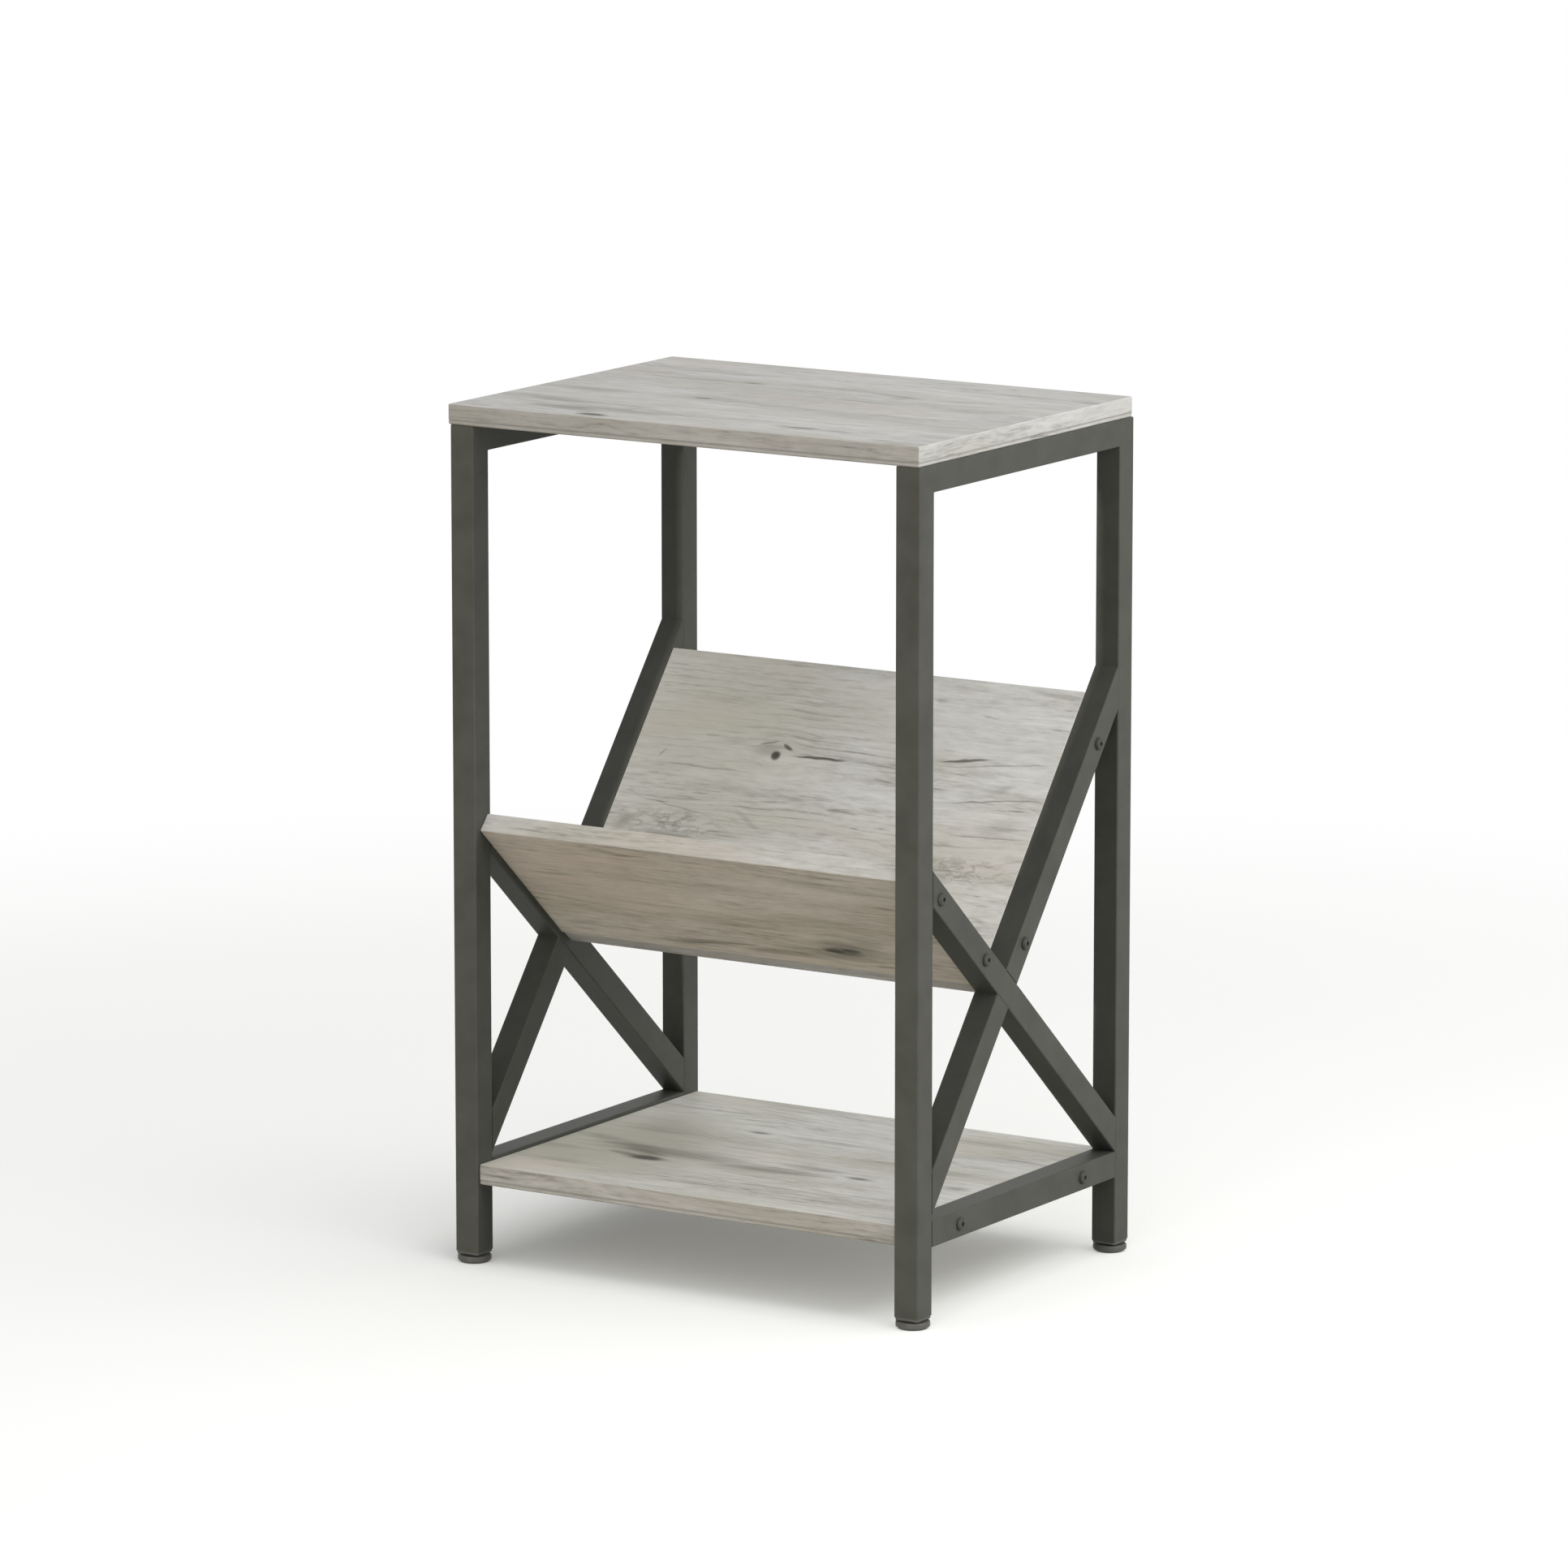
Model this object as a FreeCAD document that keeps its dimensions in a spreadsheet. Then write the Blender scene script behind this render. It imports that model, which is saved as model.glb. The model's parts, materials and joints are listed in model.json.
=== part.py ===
import FreeCAD, Part
import os
import Sketcher

# Magazine table: two welded side frames of square tube, a table top, a V-shaped rack of two
# panels and a bottom shelf, on four levelling feet. Millimetres; the origin is on the floor
# under the middle of the table, +X to the right along the front, +Y to the back, +Z up.

# Driving dimensions: name, value, what it measures.
SIZES = (
    ("frame_width", "400", "over the outer faces of the two side frames"),
    ("frame_depth", "300", "over the outer faces of a side frame's legs"),
    ("frame_height", "625", "floor to the upper face of the top rails"),
    ("rail_height", "78", "floor to the upper face of the bottom rails"),
    ("tube_width", "20", "side of the square tube"),
    ("tube_wall", "1.2", "wall of the square tube"),
    ("tube_radius", "1.2", "rounding of the tube's long edges"),
    ("corner_ease", "1.2", "ground-off corner where a leg meets the top rail"),
    ("short_brace_rise", "228.7", "height the short brace gains from rear leg to front leg"),
    ("tall_brace_gap", "3.4", "bottom rail to the foot of the tall brace"),
    ("tall_brace_rise", "328.6", "height the tall brace gains from front leg to rear leg"),
    ("board_thickness", "15", "table top, shelf and rack panels"),
    ("board_ease", "0.6", "rounding of the boards' edges"),
    ("board_bevel", "0.8", "bevel round the undersides of the table top and the shelf"),
    ("top_overhang", "0.5", "ends of a table top in the middle past the frames' outer faces"),
    ("top_back_setback", "1.7", "rear legs' outer faces to the back edge of the table top"),
    ("top_shift", "1.1", "how far the table top sits to the left of the frames' middle"),
    ("shelf_setback", "2.5", "legs' outer faces to the front and back edges of the bottom shelf"),
    ("panel_lift", "2.3", "rack panels' middle above the middle of the braces that carry them"),
    ("front_panel_past", "14.25", "front panel's upper end past the front leg's inner face, along the brace"),
    ("back_panel_short", "10.53", "back panel's upper end to the rear leg's inner face, along the brace"),
    ("back_panel_foot", "3.6", "braces' crossing to the lower end of the back panel"),
    ("front_bolt_low", "41", "braces' crossing to the front panel's lower bolt"),
    ("front_bolt_high", "14.25", "front panel's upper bolt to the front leg's inner face, along the brace"),
    ("back_bolt_low", "38", "braces' crossing to the back panel's lower bolt"),
    ("back_bolt_high", "46.73", "back panel's upper bolt to the rear leg's inner face, along the brace"),
    ("shelf_bolt_front", "92", "middle of the shelf to its front bolts"),
    ("shelf_bolt_back", "82", "middle of the shelf to its back bolts"),
    ("top_bolt_reach", "95", "middle of the frame to the bolts of the table top"),
    ("bolt_diameter", "5", "shank of every bolt"),
    ("bolt_end_gap", "2", "end of a bolt through a tube to the bottom of its insert"),
    ("top_bolt_end_gap", "1.2", "end of a bolt of the table top to the bottom of its insert"),
    ("bolt_hole_clearance", "0.25", "around a bolt where it passes a tube wall"),
    ("access_clearance", "0.75", "around the head of a top bolt where it enters its rail"),
    ("head_diameter", "9.5", "button head of a bolt"),
    ("head_height", "2.75", "button head of a bolt"),
    ("head_round", "2.1", "rounding of the button head"),
    ("socket_width", "3", "hex socket across flats"),
    ("socket_depth", "1.8", "hex socket"),
    ("insert_diameter", "7", "threaded insert in a board"),
    ("insert_length", "12", "threaded insert in a board"),
    ("insert_clearance", "0.05", "around an insert in its hole"),
    ("thread_clearance", "0.05", "around a screw in its thread, and the stud's tip in its pad"),
    ("pad_diameter", "25", "foot pad"),
    ("pad_height", "5.5", "foot pad"),
    ("pad_round", "1.2", "rounding of the foot pad's upper edge"),
    ("pad_bevel", "1.9", "bevel round the foot pad's underside"),
    ("collar_width", "13", "hex collar of a levelling stud, across flats"),
    ("collar_height", "2.2", "hex collar of a levelling stud"),
    ("stop_clearance", "0.3", "collar to leg plug when the foot is screwed right in"),
    ("recess_depth", "1.5", "recess under the leg plug that takes the collar"),
    ("recess_clearance", "0.3", "around the collar's corners in its recess"),
    ("stud_diameter", "8", "levelling stud"),
    ("stud_length", "24", "levelling stud above its collar"),
    ("stud_bevel", "0.8", "lead-in at the upper end of the stud"),
    ("tip_diameter", "6", "pivot tip of the stud in its pad"),
    ("tip_length", "3", "pivot tip of the stud in its pad"),
    ("tip_clearance", "0.3", "under the pivot tip"),
    ("plug_rim", "2", "height of the leg plug's rim below the tube"),
    ("plug_length", "18", "length of the leg plug inside the tube"),
    ("plug_clearance", "0.1", "leg plug to the tube's inner faces"),
    ("plug_round", "3", "upright corners of the plug's rim"),
    ("plug_bevel", "0.4", "bevel round the underside of the plug's rim"),
    ("cut_overrun", "5", "how far a cut runs past the face that it leaves"),
)

# Values worked out from the driving dimensions.
PLACES = (
    ("outer_x", "sizes.frame_width / 2"),
    ("inner_x", "places.outer_x - sizes.tube_width"),
    ("tube_x", "places.outer_x - sizes.tube_width / 2"),
    ("outer_y", "sizes.frame_depth / 2"),
    ("inner_y", "places.outer_y - sizes.tube_width"),
    ("leg_y", "places.outer_y - sizes.tube_width / 2"),
    ("tube_half", "sizes.tube_width / 2"),
    ("board_half", "sizes.board_thickness / 2"),
    ("hollow_half", "places.tube_half - sizes.tube_wall"),
    ("collar_top", "sizes.pad_height + sizes.collar_height"),
    ("leg_bottom", "places.collar_top + sizes.stop_clearance - sizes.recess_depth + sizes.plug_rim"),
    ("recess_width", "2 * sizes.collar_width / sqrt(3) + 2 * sizes.recess_clearance"),
    ("rail_middle", "sizes.rail_height - places.tube_half"),
    ("shelf_bottom", "places.rail_middle - places.board_half"),
    ("top_width", "sizes.frame_width + 2 * sizes.top_overhang"),
    ("top_back", "places.outer_y - sizes.top_back_setback"),
    ("top_left", "-places.top_width / 2 - sizes.top_shift"),
    ("top_right", "places.top_width / 2 - sizes.top_shift"),
    ("shelf_depth", "sizes.frame_depth - 2 * sizes.shelf_setback"),
    ("panel_upper", "sizes.panel_lift + places.board_half"),
    ("panel_lower", "sizes.panel_lift - places.board_half"),
    ("bolt_hole", "sizes.bolt_diameter + 2 * sizes.bolt_hole_clearance"),
    ("access_hole", "sizes.head_diameter + 2 * sizes.access_clearance"),
    ("insert_hole", "sizes.insert_diameter + 2 * sizes.insert_clearance"),
    ("bolt_length", "sizes.tube_width + sizes.insert_length - sizes.bolt_end_gap"),
    ("top_bolt_length", "sizes.tube_wall + sizes.insert_length - sizes.top_bolt_end_gap"),
    ("short_slope", "sizes.short_brace_rise / (2 * places.inner_y)"),
    ("tall_slope", "sizes.tall_brace_rise / (2 * places.inner_y)"),
    ("short_stretch", "sqrt(1 + places.short_slope * places.short_slope)"),
    ("tall_stretch", "sqrt(1 + places.tall_slope * places.tall_slope)"),
    ("short_cos", "1 / places.short_stretch"),
    ("short_sin", "places.short_slope / places.short_stretch"),
    ("tall_cos", "1 / places.tall_stretch"),
    ("tall_sin", "places.tall_slope / places.tall_stretch"),
    ("short_foot", "sizes.rail_height"),
    ("short_head", "places.short_foot + sizes.short_brace_rise"),
    ("short_upright", "sizes.tube_width * places.short_stretch"),
    ("tall_foot", "sizes.rail_height + sizes.tall_brace_gap"),
    ("tall_head", "places.tall_foot + sizes.tall_brace_rise"),
    ("tall_upright", "sizes.tube_width * places.tall_stretch"),
    ("short_start", "places.short_head + places.short_upright / 2"),
    ("tall_start", "places.tall_foot + places.tall_upright / 2"),
    ("cross_run", "(places.short_start - places.tall_start) / (places.short_slope + places.tall_slope)"),
    ("cross_y", "places.cross_run - places.inner_y"),
    ("cross_z", "places.tall_start + places.cross_run * places.tall_slope"),
    ("cross_sin", "places.short_sin * places.tall_cos + places.short_cos * places.tall_sin"),
    ("cross_cos", "places.short_cos * places.tall_cos - places.short_sin * places.tall_sin"),
    ("front_run", "places.cross_run / places.short_cos"),
    ("back_run", "(places.inner_y - places.cross_y) / places.tall_cos"),
    ("front_panel_reach", "places.front_run + sizes.front_panel_past"),
    ("back_panel_reach", "places.back_run - sizes.back_panel_short"),
)

SIDES = {"left": "-", "right": ""}
ENDS = {"front": "-", "rear": ""}
TOUCH_TOLERANCE = 1e-6

doc = FreeCAD.newDocument("magazine_table")
nodes = []


def make_sizes():
    """Puts the driving dimensions into the sheet."""
    sheet = doc.addObject("Spreadsheet::Sheet", "sizes")
    for row, (name, number, meaning) in enumerate(SIZES, start=1):
        sheet.set("A%d" % row, name)
        sheet.set("B%d" % row, number)
        sheet.setAlias("B%d" % row, name)
        sheet.set("C%d" % row, meaning)
    doc.recompute()
    return sheet


def make_places():
    """Binds the values that follow from the driving dimensions."""
    places = doc.addObject("App::VarSet", "places")
    for name, expression in PLACES:
        places.addProperty("App::PropertyFloat", name, "derived")
        places.setExpression(name, expression)
        doc.recompute()


def value(expression):
    """Present value of an expression."""
    return float(sizes.evalExpression(expression))


def short_point(along, off):
    """Point of the side view, along the short brace towards the front and off it to the back."""
    across = "places.cross_y - (%s) * places.short_cos + (%s) * places.short_sin" % (along, off)
    up = "places.cross_z + (%s) * places.short_sin + (%s) * places.short_cos" % (along, off)
    return across, up


def tall_point(along, off):
    """Point of the side view, along the tall brace towards the back and off it to the front."""
    across = "places.cross_y + (%s) * places.tall_cos - (%s) * places.tall_sin" % (along, off)
    up = "places.cross_z + (%s) * places.tall_sin + (%s) * places.tall_cos" % (along, off)
    return across, up


def meeting(face, off):
    """Distance along one brace, at an offset from it, to a face at an offset from the other brace."""
    return "(%s - (%s) * places.cross_cos) / places.cross_sin" % (face, off)


def rectangle(left, right, low, high):
    """Corners of an upright rectangle."""
    return [(left, low), (right, low), (right, high), (left, high)]


def hexagon(flats):
    """Corners of a hexagon around the origin, from its width across flats."""
    reach = "%s / sqrt(3)" % flats
    half = "%s / sqrt(3) / 2" % flats
    side = "%s / 2" % flats
    return [
        (reach, "0"), (half, side), ("-" + half, side),
        ("-" + reach, "0"), ("-" + half, "-" + side), (half, "-" + side),
    ]


def new_body(label):
    """Empty body of one sub-part."""
    body = doc.addObject("PartDesign::Body", label)
    body.Label = label
    return body


def keep(item):
    """Counts an object among the sub-parts that are written."""
    nodes.append(item)
    return item


def place(item, across, along, up):
    """Binds an object's place in the table."""
    item.setExpression("Placement.Base.x", across)
    item.setExpression("Placement.Base.y", along)
    item.setExpression("Placement.Base.z", up)


def new_sketch(body, name, role, lift):
    """Empty sketch on one of the body's origin planes, lifted along the plane's normal."""
    sketch = body.newObject("Sketcher::SketchObject", body.Name + "_" + name)
    plane = [item for item in body.Origin.OriginFeatures if item.Role == role][0]
    sketch.AttachmentSupport = [(plane, "")]
    sketch.MapMode = "FlatFace"
    sketch.setExpression("AttachmentOffset.Base.z", lift)
    return sketch


def bind_point(sketch, geometry, point, across, up):
    """Ties a point of the sketch to a pair of expressions."""
    for kind, expression in (("DistanceX", across), ("DistanceY", up)):
        constraint = Sketcher.Constraint(kind, -1, 1, geometry, point, value(expression))
        number = sketch.addConstraint(constraint)
        sketch.setExpression("Constraints[%d]" % number, expression)


def polygon(body, name, role, corners, lift="0"):
    """Sketch of straight sides between corners given as pairs of expressions."""
    sketch = new_sketch(body, name, role, lift)
    count = len(corners)
    points = [FreeCAD.Vector(value(across), value(up), 0) for across, up in corners]
    for index in range(count):
        sketch.addGeometry(Part.LineSegment(points[index], points[(index + 1) % count]), False)
    for index, (across, up) in enumerate(corners):
        sketch.addConstraint(Sketcher.Constraint("Coincident", index, 2, (index + 1) % count, 1))
        bind_point(sketch, index, 1, across, up)
    return sketch


def circles(body, name, role, centres, diameter, lift="0"):
    """Sketch of equal circles around centres given as pairs of expressions."""
    sketch = new_sketch(body, name, role, lift)
    for index, (across, up) in enumerate(centres):
        centre = FreeCAD.Vector(value(across), value(up), 0)
        sketch.addGeometry(Part.Circle(centre, FreeCAD.Vector(0, 0, 1), value(diameter) / 2), False)
        bind_point(sketch, index, 3, across, up)
        number = sketch.addConstraint(Sketcher.Constraint("Diameter", index, value(diameter)))
        sketch.setExpression("Constraints[%d]" % number, diameter)
    return sketch


def add_pad(body, sketch, length, side="One side", backwards=False):
    """Raises a sketch into the body."""
    pad = body.newObject("PartDesign::Pad", sketch.Name + "_pad")
    pad.Profile = sketch
    pad.SideType = side
    pad.Reversed = backwards
    pad.setExpression("Length", length)
    doc.recompute()
    return pad


def cut(body, sketch, length=None, side="One side", backwards=False):
    """Cuts a sketch out of the body, right through where no length is given."""
    before = body.Shape.Volume
    pocket = body.newObject("PartDesign::Pocket", sketch.Name + "_cut")
    pocket.Profile = sketch
    pocket.SideType = side
    pocket.Reversed = backwards
    if length is None:
        pocket.Type = "ThroughAll"
    else:
        pocket.setExpression("Length", length)
    doc.recompute()
    if not body.Shape.Volume < before:
        raise RuntimeError("%s took nothing away" % pocket.Name)


def dress(body, kind, size_property, size, wanted):
    """Rounds or bevels the edges of the body that the test wants."""
    base = body.Tip
    names = ["Edge%d" % number for number, edge in enumerate(base.Shape.Edges, start=1) if wanted(edge)]
    feature = body.newObject("PartDesign::" + kind, "%s_%s_%s" % (body.Name, kind.lower(), base.Name))
    feature.Base = (base, names)
    feature.setExpression(size_property, size)
    doc.recompute()


def runs_along(direction):
    """Test for straight edges that run along a direction."""
    def wanted(edge):
        if edge.Curve.TypeId != "Part::GeomLine":
            return False
        return edge.tangentAt(edge.FirstParameter).cross(direction).Length < TOUCH_TOLERANCE
    return wanted


def lies_at(height):
    """Test for edges that lie wholly at one height."""
    def wanted(edge):
        box = edge.BoundBox
        return max(abs(box.ZMin - height), abs(box.ZMax - height)) < TOUCH_TOLERANCE
    return wanted


def every_edge(edge):
    """Test that takes all edges."""
    return True


def make_tube(label, sign, outline, hollow, holes=()):
    """Length of square tube in a side frame, from its outline and its hollow in the side view.

    The outline's first two corners lie along the tube's length.
    """
    body = keep(new_body(label))
    place(body, sign + "places.tube_x", "0", "0")
    add_pad(body, polygon(body, "outline", "YZ_Plane", outline), "sizes.tube_width", "Symmetric")
    first, second = [FreeCAD.Vector(0, value(across), value(up)) for across, up in outline[:2]]
    dress(body, "Fillet", "Radius", "sizes.tube_radius", runs_along((second - first).normalize()))
    cut(body, polygon(body, "hollow", "YZ_Plane", hollow), "2 * places.hollow_half", "Symmetric")
    if holes:
        cut(body, circles(body, "holes", "YZ_Plane", holes, "places.bolt_hole"), side="Symmetric")
    return body


def make_side_frame(side, sign):
    """The seven tubes of one side frame."""
    past_bottom = "places.leg_bottom - sizes.cut_overrun"
    past_top = "sizes.frame_height + sizes.cut_overrun"
    rail_low = "sizes.frame_height - sizes.tube_width"
    for end, toward in ENDS.items():
        outer = toward + "places.outer_y"
        eased = "%s(places.outer_y - sizes.corner_ease / 2)" % toward
        inner = toward + "places.inner_y"
        outline = [
            (outer, "places.leg_bottom"),
            (outer, "sizes.frame_height - sizes.corner_ease"),
            (eased, "sizes.frame_height - sizes.corner_ease / 2"),
            (inner, rail_low),
            (inner, "places.leg_bottom"),
        ]
        near = "%s(places.leg_y - places.hollow_half)" % toward
        far = "%s(places.leg_y + places.hollow_half)" % toward
        hollow = rectangle(near, far, past_bottom, past_top)
        make_tube("%s_%s_leg" % (side, end), sign, outline, hollow)

    make_top_rail(side, sign, rail_low)

    past_end = "places.outer_y"
    rail_rows = ("places.rail_middle - places.hollow_half", "places.rail_middle + places.hollow_half")
    outline = rectangle("-places.inner_y", "places.inner_y", "sizes.rail_height - sizes.tube_width",
                        "sizes.rail_height")
    hollow = rectangle("-" + past_end, past_end, *rail_rows)
    make_tube(side + "_bottom_rail", sign, outline, hollow, SHELF_BOLTS)

    outline = [
        ("-places.inner_y", "places.short_head"),
        ("places.inner_y", "places.short_foot"),
        ("places.inner_y", "places.short_foot + places.short_upright"),
        ("-places.inner_y", "places.short_head + places.short_upright"),
    ]
    make_tube(side + "_short_brace", sign, outline, brace_hollow(short_point), FRONT_PANEL_BOLTS)

    # The tall brace stops at the short one's faces, which cross it a little off square.
    low, high = "-places.tube_half", "places.tube_half"
    outline = [
        tall_point(meeting(high, low), low),
        ("places.inner_y", "places.tall_head"),
        ("places.inner_y", "places.tall_head + places.tall_upright"),
        tall_point(meeting(high, high), high),
    ]
    make_tube(side + "_tall_brace_upper", sign, outline, brace_hollow(tall_point), BACK_PANEL_BOLTS)
    outline = [
        ("-places.inner_y", "places.tall_foot"),
        tall_point(meeting(low, low), low),
        tall_point(meeting(low, high), high),
        ("-places.inner_y", "places.tall_foot + places.tall_upright"),
    ]
    make_tube(side + "_tall_brace_lower", sign, outline, brace_hollow(tall_point))


def make_top_rail(side, sign, rail_low):
    """Top rail with mitred ends, bolt holes in its upper wall and access holes in its lower wall."""
    outline = [
        ("-(places.outer_y - sizes.corner_ease)", "sizes.frame_height"),
        ("places.outer_y - sizes.corner_ease", "sizes.frame_height"),
        ("places.outer_y - sizes.corner_ease / 2", "sizes.frame_height - sizes.corner_ease / 2"),
        ("places.inner_y", rail_low),
        ("-places.inner_y", rail_low),
        ("-(places.outer_y - sizes.corner_ease / 2)", "sizes.frame_height - sizes.corner_ease / 2"),
    ]
    past_end = "(places.outer_y + sizes.cut_overrun)"
    hollow = rectangle("-" + past_end, past_end, "sizes.frame_height - sizes.tube_width + sizes.tube_wall",
                       "sizes.frame_height - sizes.tube_wall")
    body = make_tube(side + "_top_rail", sign, outline, hollow)
    centres = [("0", "-sizes.top_bolt_reach"), ("0", "sizes.top_bolt_reach")]
    middle = "sizes.frame_height - places.tube_half"
    cut(body, circles(body, "bolt_holes", "XY_Plane", centres, "places.bolt_hole", middle), backwards=True)
    cut(body, circles(body, "access_holes", "XY_Plane", centres, "places.access_hole", middle))


def brace_hollow(point):
    """Strip inside a brace, longer than the brace itself."""
    rim = "places.hollow_half"
    return [
        point("-sizes.frame_height", "-" + rim),
        point("sizes.frame_height", "-" + rim),
        point("sizes.frame_height", rim),
        point("-sizes.frame_height", rim),
    ]


def drill_ends(body, centres):
    """Holes for the threaded inserts in both ends of a board."""
    for side, sign in SIDES.items():
        end_face = sign + "places.inner_x"
        sketch = circles(body, side + "_holes", "YZ_Plane", centres, "places.insert_hole", end_face)
        cut(body, sketch, "sizes.insert_length", backwards=side == "left")


def make_table_top():
    """Table top on the side frames, flush with the front legs, with insert holes in its underside."""
    body = keep(new_body("table_top"))
    outline = rectangle("places.top_left", "places.top_right", "-places.outer_y", "places.top_back")
    add_pad(body, polygon(body, "outline", "XY_Plane", outline), "sizes.board_thickness")
    dress(body, "Chamfer", "Size", "sizes.board_bevel", lies_at(0))
    dress(body, "Fillet", "Radius", "sizes.board_ease", every_edge)
    sketch = circles(body, "holes", "XY_Plane", TOP_BOLTS, "places.insert_hole")
    cut(body, sketch, "sizes.insert_length", backwards=True)
    place(body, "0", "0", "sizes.frame_height")


def make_bottom_shelf():
    """Bottom shelf between the side frames, level with the middle of the bottom rails."""
    body = keep(new_body("bottom_shelf"))
    half_depth = "places.shelf_depth / 2"
    outline = rectangle("-places.inner_x", "places.inner_x", "-" + half_depth, half_depth)
    sketch = polygon(body, "outline", "XY_Plane", outline, "places.shelf_bottom")
    add_pad(body, sketch, "sizes.board_thickness")
    dress(body, "Chamfer", "Size", "sizes.board_bevel", lies_at(value("places.shelf_bottom")))
    dress(body, "Fillet", "Radius", "sizes.board_ease", every_edge)
    drill_ends(body, SHELF_BOLTS)


def make_rack_panel(label, outline, centres):
    """Panel of the rack between the side frames, from its outline in the side view."""
    body = keep(new_body(label))
    add_pad(body, polygon(body, "outline", "YZ_Plane", outline), "2 * places.inner_x", "Symmetric")
    dress(body, "Fillet", "Radius", "sizes.board_ease", every_edge)
    drill_ends(body, centres)


def make_rack():
    """Front panel along the short braces, standing against the back panel along the tall ones."""
    lower, upper = "places.panel_lower", "places.panel_upper"
    make_rack_panel("rack_front_panel", [
        short_point(meeting(upper, lower), lower),
        short_point("places.front_panel_reach", lower),
        short_point("places.front_panel_reach", upper),
        short_point(meeting(upper, upper), upper),
    ], FRONT_PANEL_BOLTS)
    make_rack_panel("rack_back_panel", [
        tall_point("-sizes.back_panel_foot", lower),
        tall_point("places.back_panel_reach", lower),
        tall_point("places.back_panel_reach", upper),
        tall_point("-sizes.back_panel_foot", upper),
    ], BACK_PANEL_BOLTS)


def make_bolt(label, length):
    """Button-head bolt with a hex socket: seat at the origin, head up, shank down."""
    body = new_body(label)
    middle = [("0", "0")]
    add_pad(body, circles(body, "head", "XY_Plane", middle, "sizes.head_diameter"), "sizes.head_height")
    dress(body, "Fillet", "Radius", "sizes.head_round", lies_at(value("sizes.head_height")))
    socket = polygon(body, "socket", "XY_Plane", hexagon("sizes.socket_width"), "sizes.head_height")
    cut(body, socket, "sizes.socket_depth")
    shank = circles(body, "shank", "XY_Plane", middle, "sizes.bolt_diameter")
    add_pad(body, shank, length, backwards=True)
    return body


def make_insert():
    """Threaded insert: mouth at the origin, body down."""
    body = new_body("threaded_insert")
    middle = [("0", "0")]
    outside = circles(body, "outside", "XY_Plane", middle, "sizes.insert_diameter")
    add_pad(body, outside, "sizes.insert_length", backwards=True)
    thread = circles(body, "thread", "XY_Plane", middle, "sizes.bolt_diameter + 2 * sizes.thread_clearance")
    cut(body, thread)
    return body


def make_group(label, master, places):
    """Node of equal pieces: each place is a turn and three expressions."""
    copies = []
    for number, (turn, across, along, up) in enumerate(places, start=1):
        copy = doc.addObject("App::Link", "%s_%d" % (label, number))
        copy.LinkedObject = master
        copy.Placement = FreeCAD.Placement(FreeCAD.Vector(), turn)
        place(copy, across, along, up)
        copies.append(copy)
    group = doc.addObject("Part::Compound", label)
    group.Label = label
    group.Links = copies
    doc.recompute()
    keep(group)


def make_fasteners():
    """Bolts through the tubes and the inserts that take them, in a group for each board."""
    bolt = make_bolt("bolt", "places.bolt_length")
    top_bolt = make_bolt("top_bolt", "places.top_bolt_length")
    insert = make_insert()
    quarter_turn = 90
    half_turn = 180
    across_axis = FreeCAD.Vector(0, 1, 0)
    turns = {
        "left": FreeCAD.Rotation(across_axis, -quarter_turn),
        "right": FreeCAD.Rotation(across_axis, quarter_turn),
    }
    boards = {"rack_front": FRONT_PANEL_BOLTS, "rack_back": BACK_PANEL_BOLTS, "shelf": SHELF_BOLTS}
    kinds = (("bolts", bolt, "places.outer_x"), ("inserts", insert, "places.inner_x"))
    for board, centres in boards.items():
        for kind, master, reach in kinds:
            spots = [
                (turns[side], sign + reach, along, up)
                for side, sign in SIDES.items() for along, up in centres
            ]
            make_group("%s_%s" % (board, kind), master, spots)
    upside_down = FreeCAD.Rotation(FreeCAD.Vector(1, 0, 0), half_turn)
    wall_seat = "sizes.frame_height - sizes.tube_wall"
    for kind, master, up in (("bolts", top_bolt, wall_seat), ("inserts", insert, "sizes.frame_height")):
        make_group("top_" + kind, master, [(upside_down, across, along, up) for across, along in TOP_BOLTS])


def make_plug(label):
    """Plug in a leg's lower end: rim below the tube, thread for the stud, recess for its collar."""
    body = keep(new_body(label))
    rim_half = "places.tube_half"
    fit_half = "(places.hollow_half - sizes.plug_clearance)"
    rim = rectangle("-" + rim_half, rim_half, "-" + rim_half, rim_half)
    add_pad(body, polygon(body, "rim", "XY_Plane", rim), "sizes.plug_rim", backwards=True)
    dress(body, "Fillet", "Radius", "sizes.plug_round", runs_along(FreeCAD.Vector(0, 0, 1)))
    dress(body, "Chamfer", "Size", "sizes.plug_bevel", lies_at(-value("sizes.plug_rim")))
    fit = rectangle("-" + fit_half, fit_half, "-" + fit_half, fit_half)
    add_pad(body, polygon(body, "fit", "XY_Plane", fit), "sizes.plug_length")
    middle = [("0", "0")]
    bore = "sizes.stud_diameter + 2 * sizes.thread_clearance"
    cut(body, circles(body, "thread", "XY_Plane", middle, bore), side="Symmetric")
    recess = circles(body, "recess", "XY_Plane", middle, "places.recess_width", "-sizes.plug_rim")
    cut(body, recess, "sizes.recess_depth", backwards=True)
    return body


def make_pad(label):
    """Round foot pad with a socket for the stud's pivot tip."""
    body = keep(new_body(label))
    middle = [("0", "0")]
    add_pad(body, circles(body, "disc", "XY_Plane", middle, "sizes.pad_diameter"), "sizes.pad_height")
    dress(body, "Fillet", "Radius", "sizes.pad_round", lies_at(value("sizes.pad_height")))
    dress(body, "Chamfer", "Size", "sizes.pad_bevel", lies_at(0))
    tip_hole = "sizes.tip_diameter + 2 * sizes.thread_clearance"
    cut(body, circles(body, "socket", "XY_Plane", middle, tip_hole, "sizes.pad_height"),
        "sizes.tip_length + sizes.tip_clearance")
    return body


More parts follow.
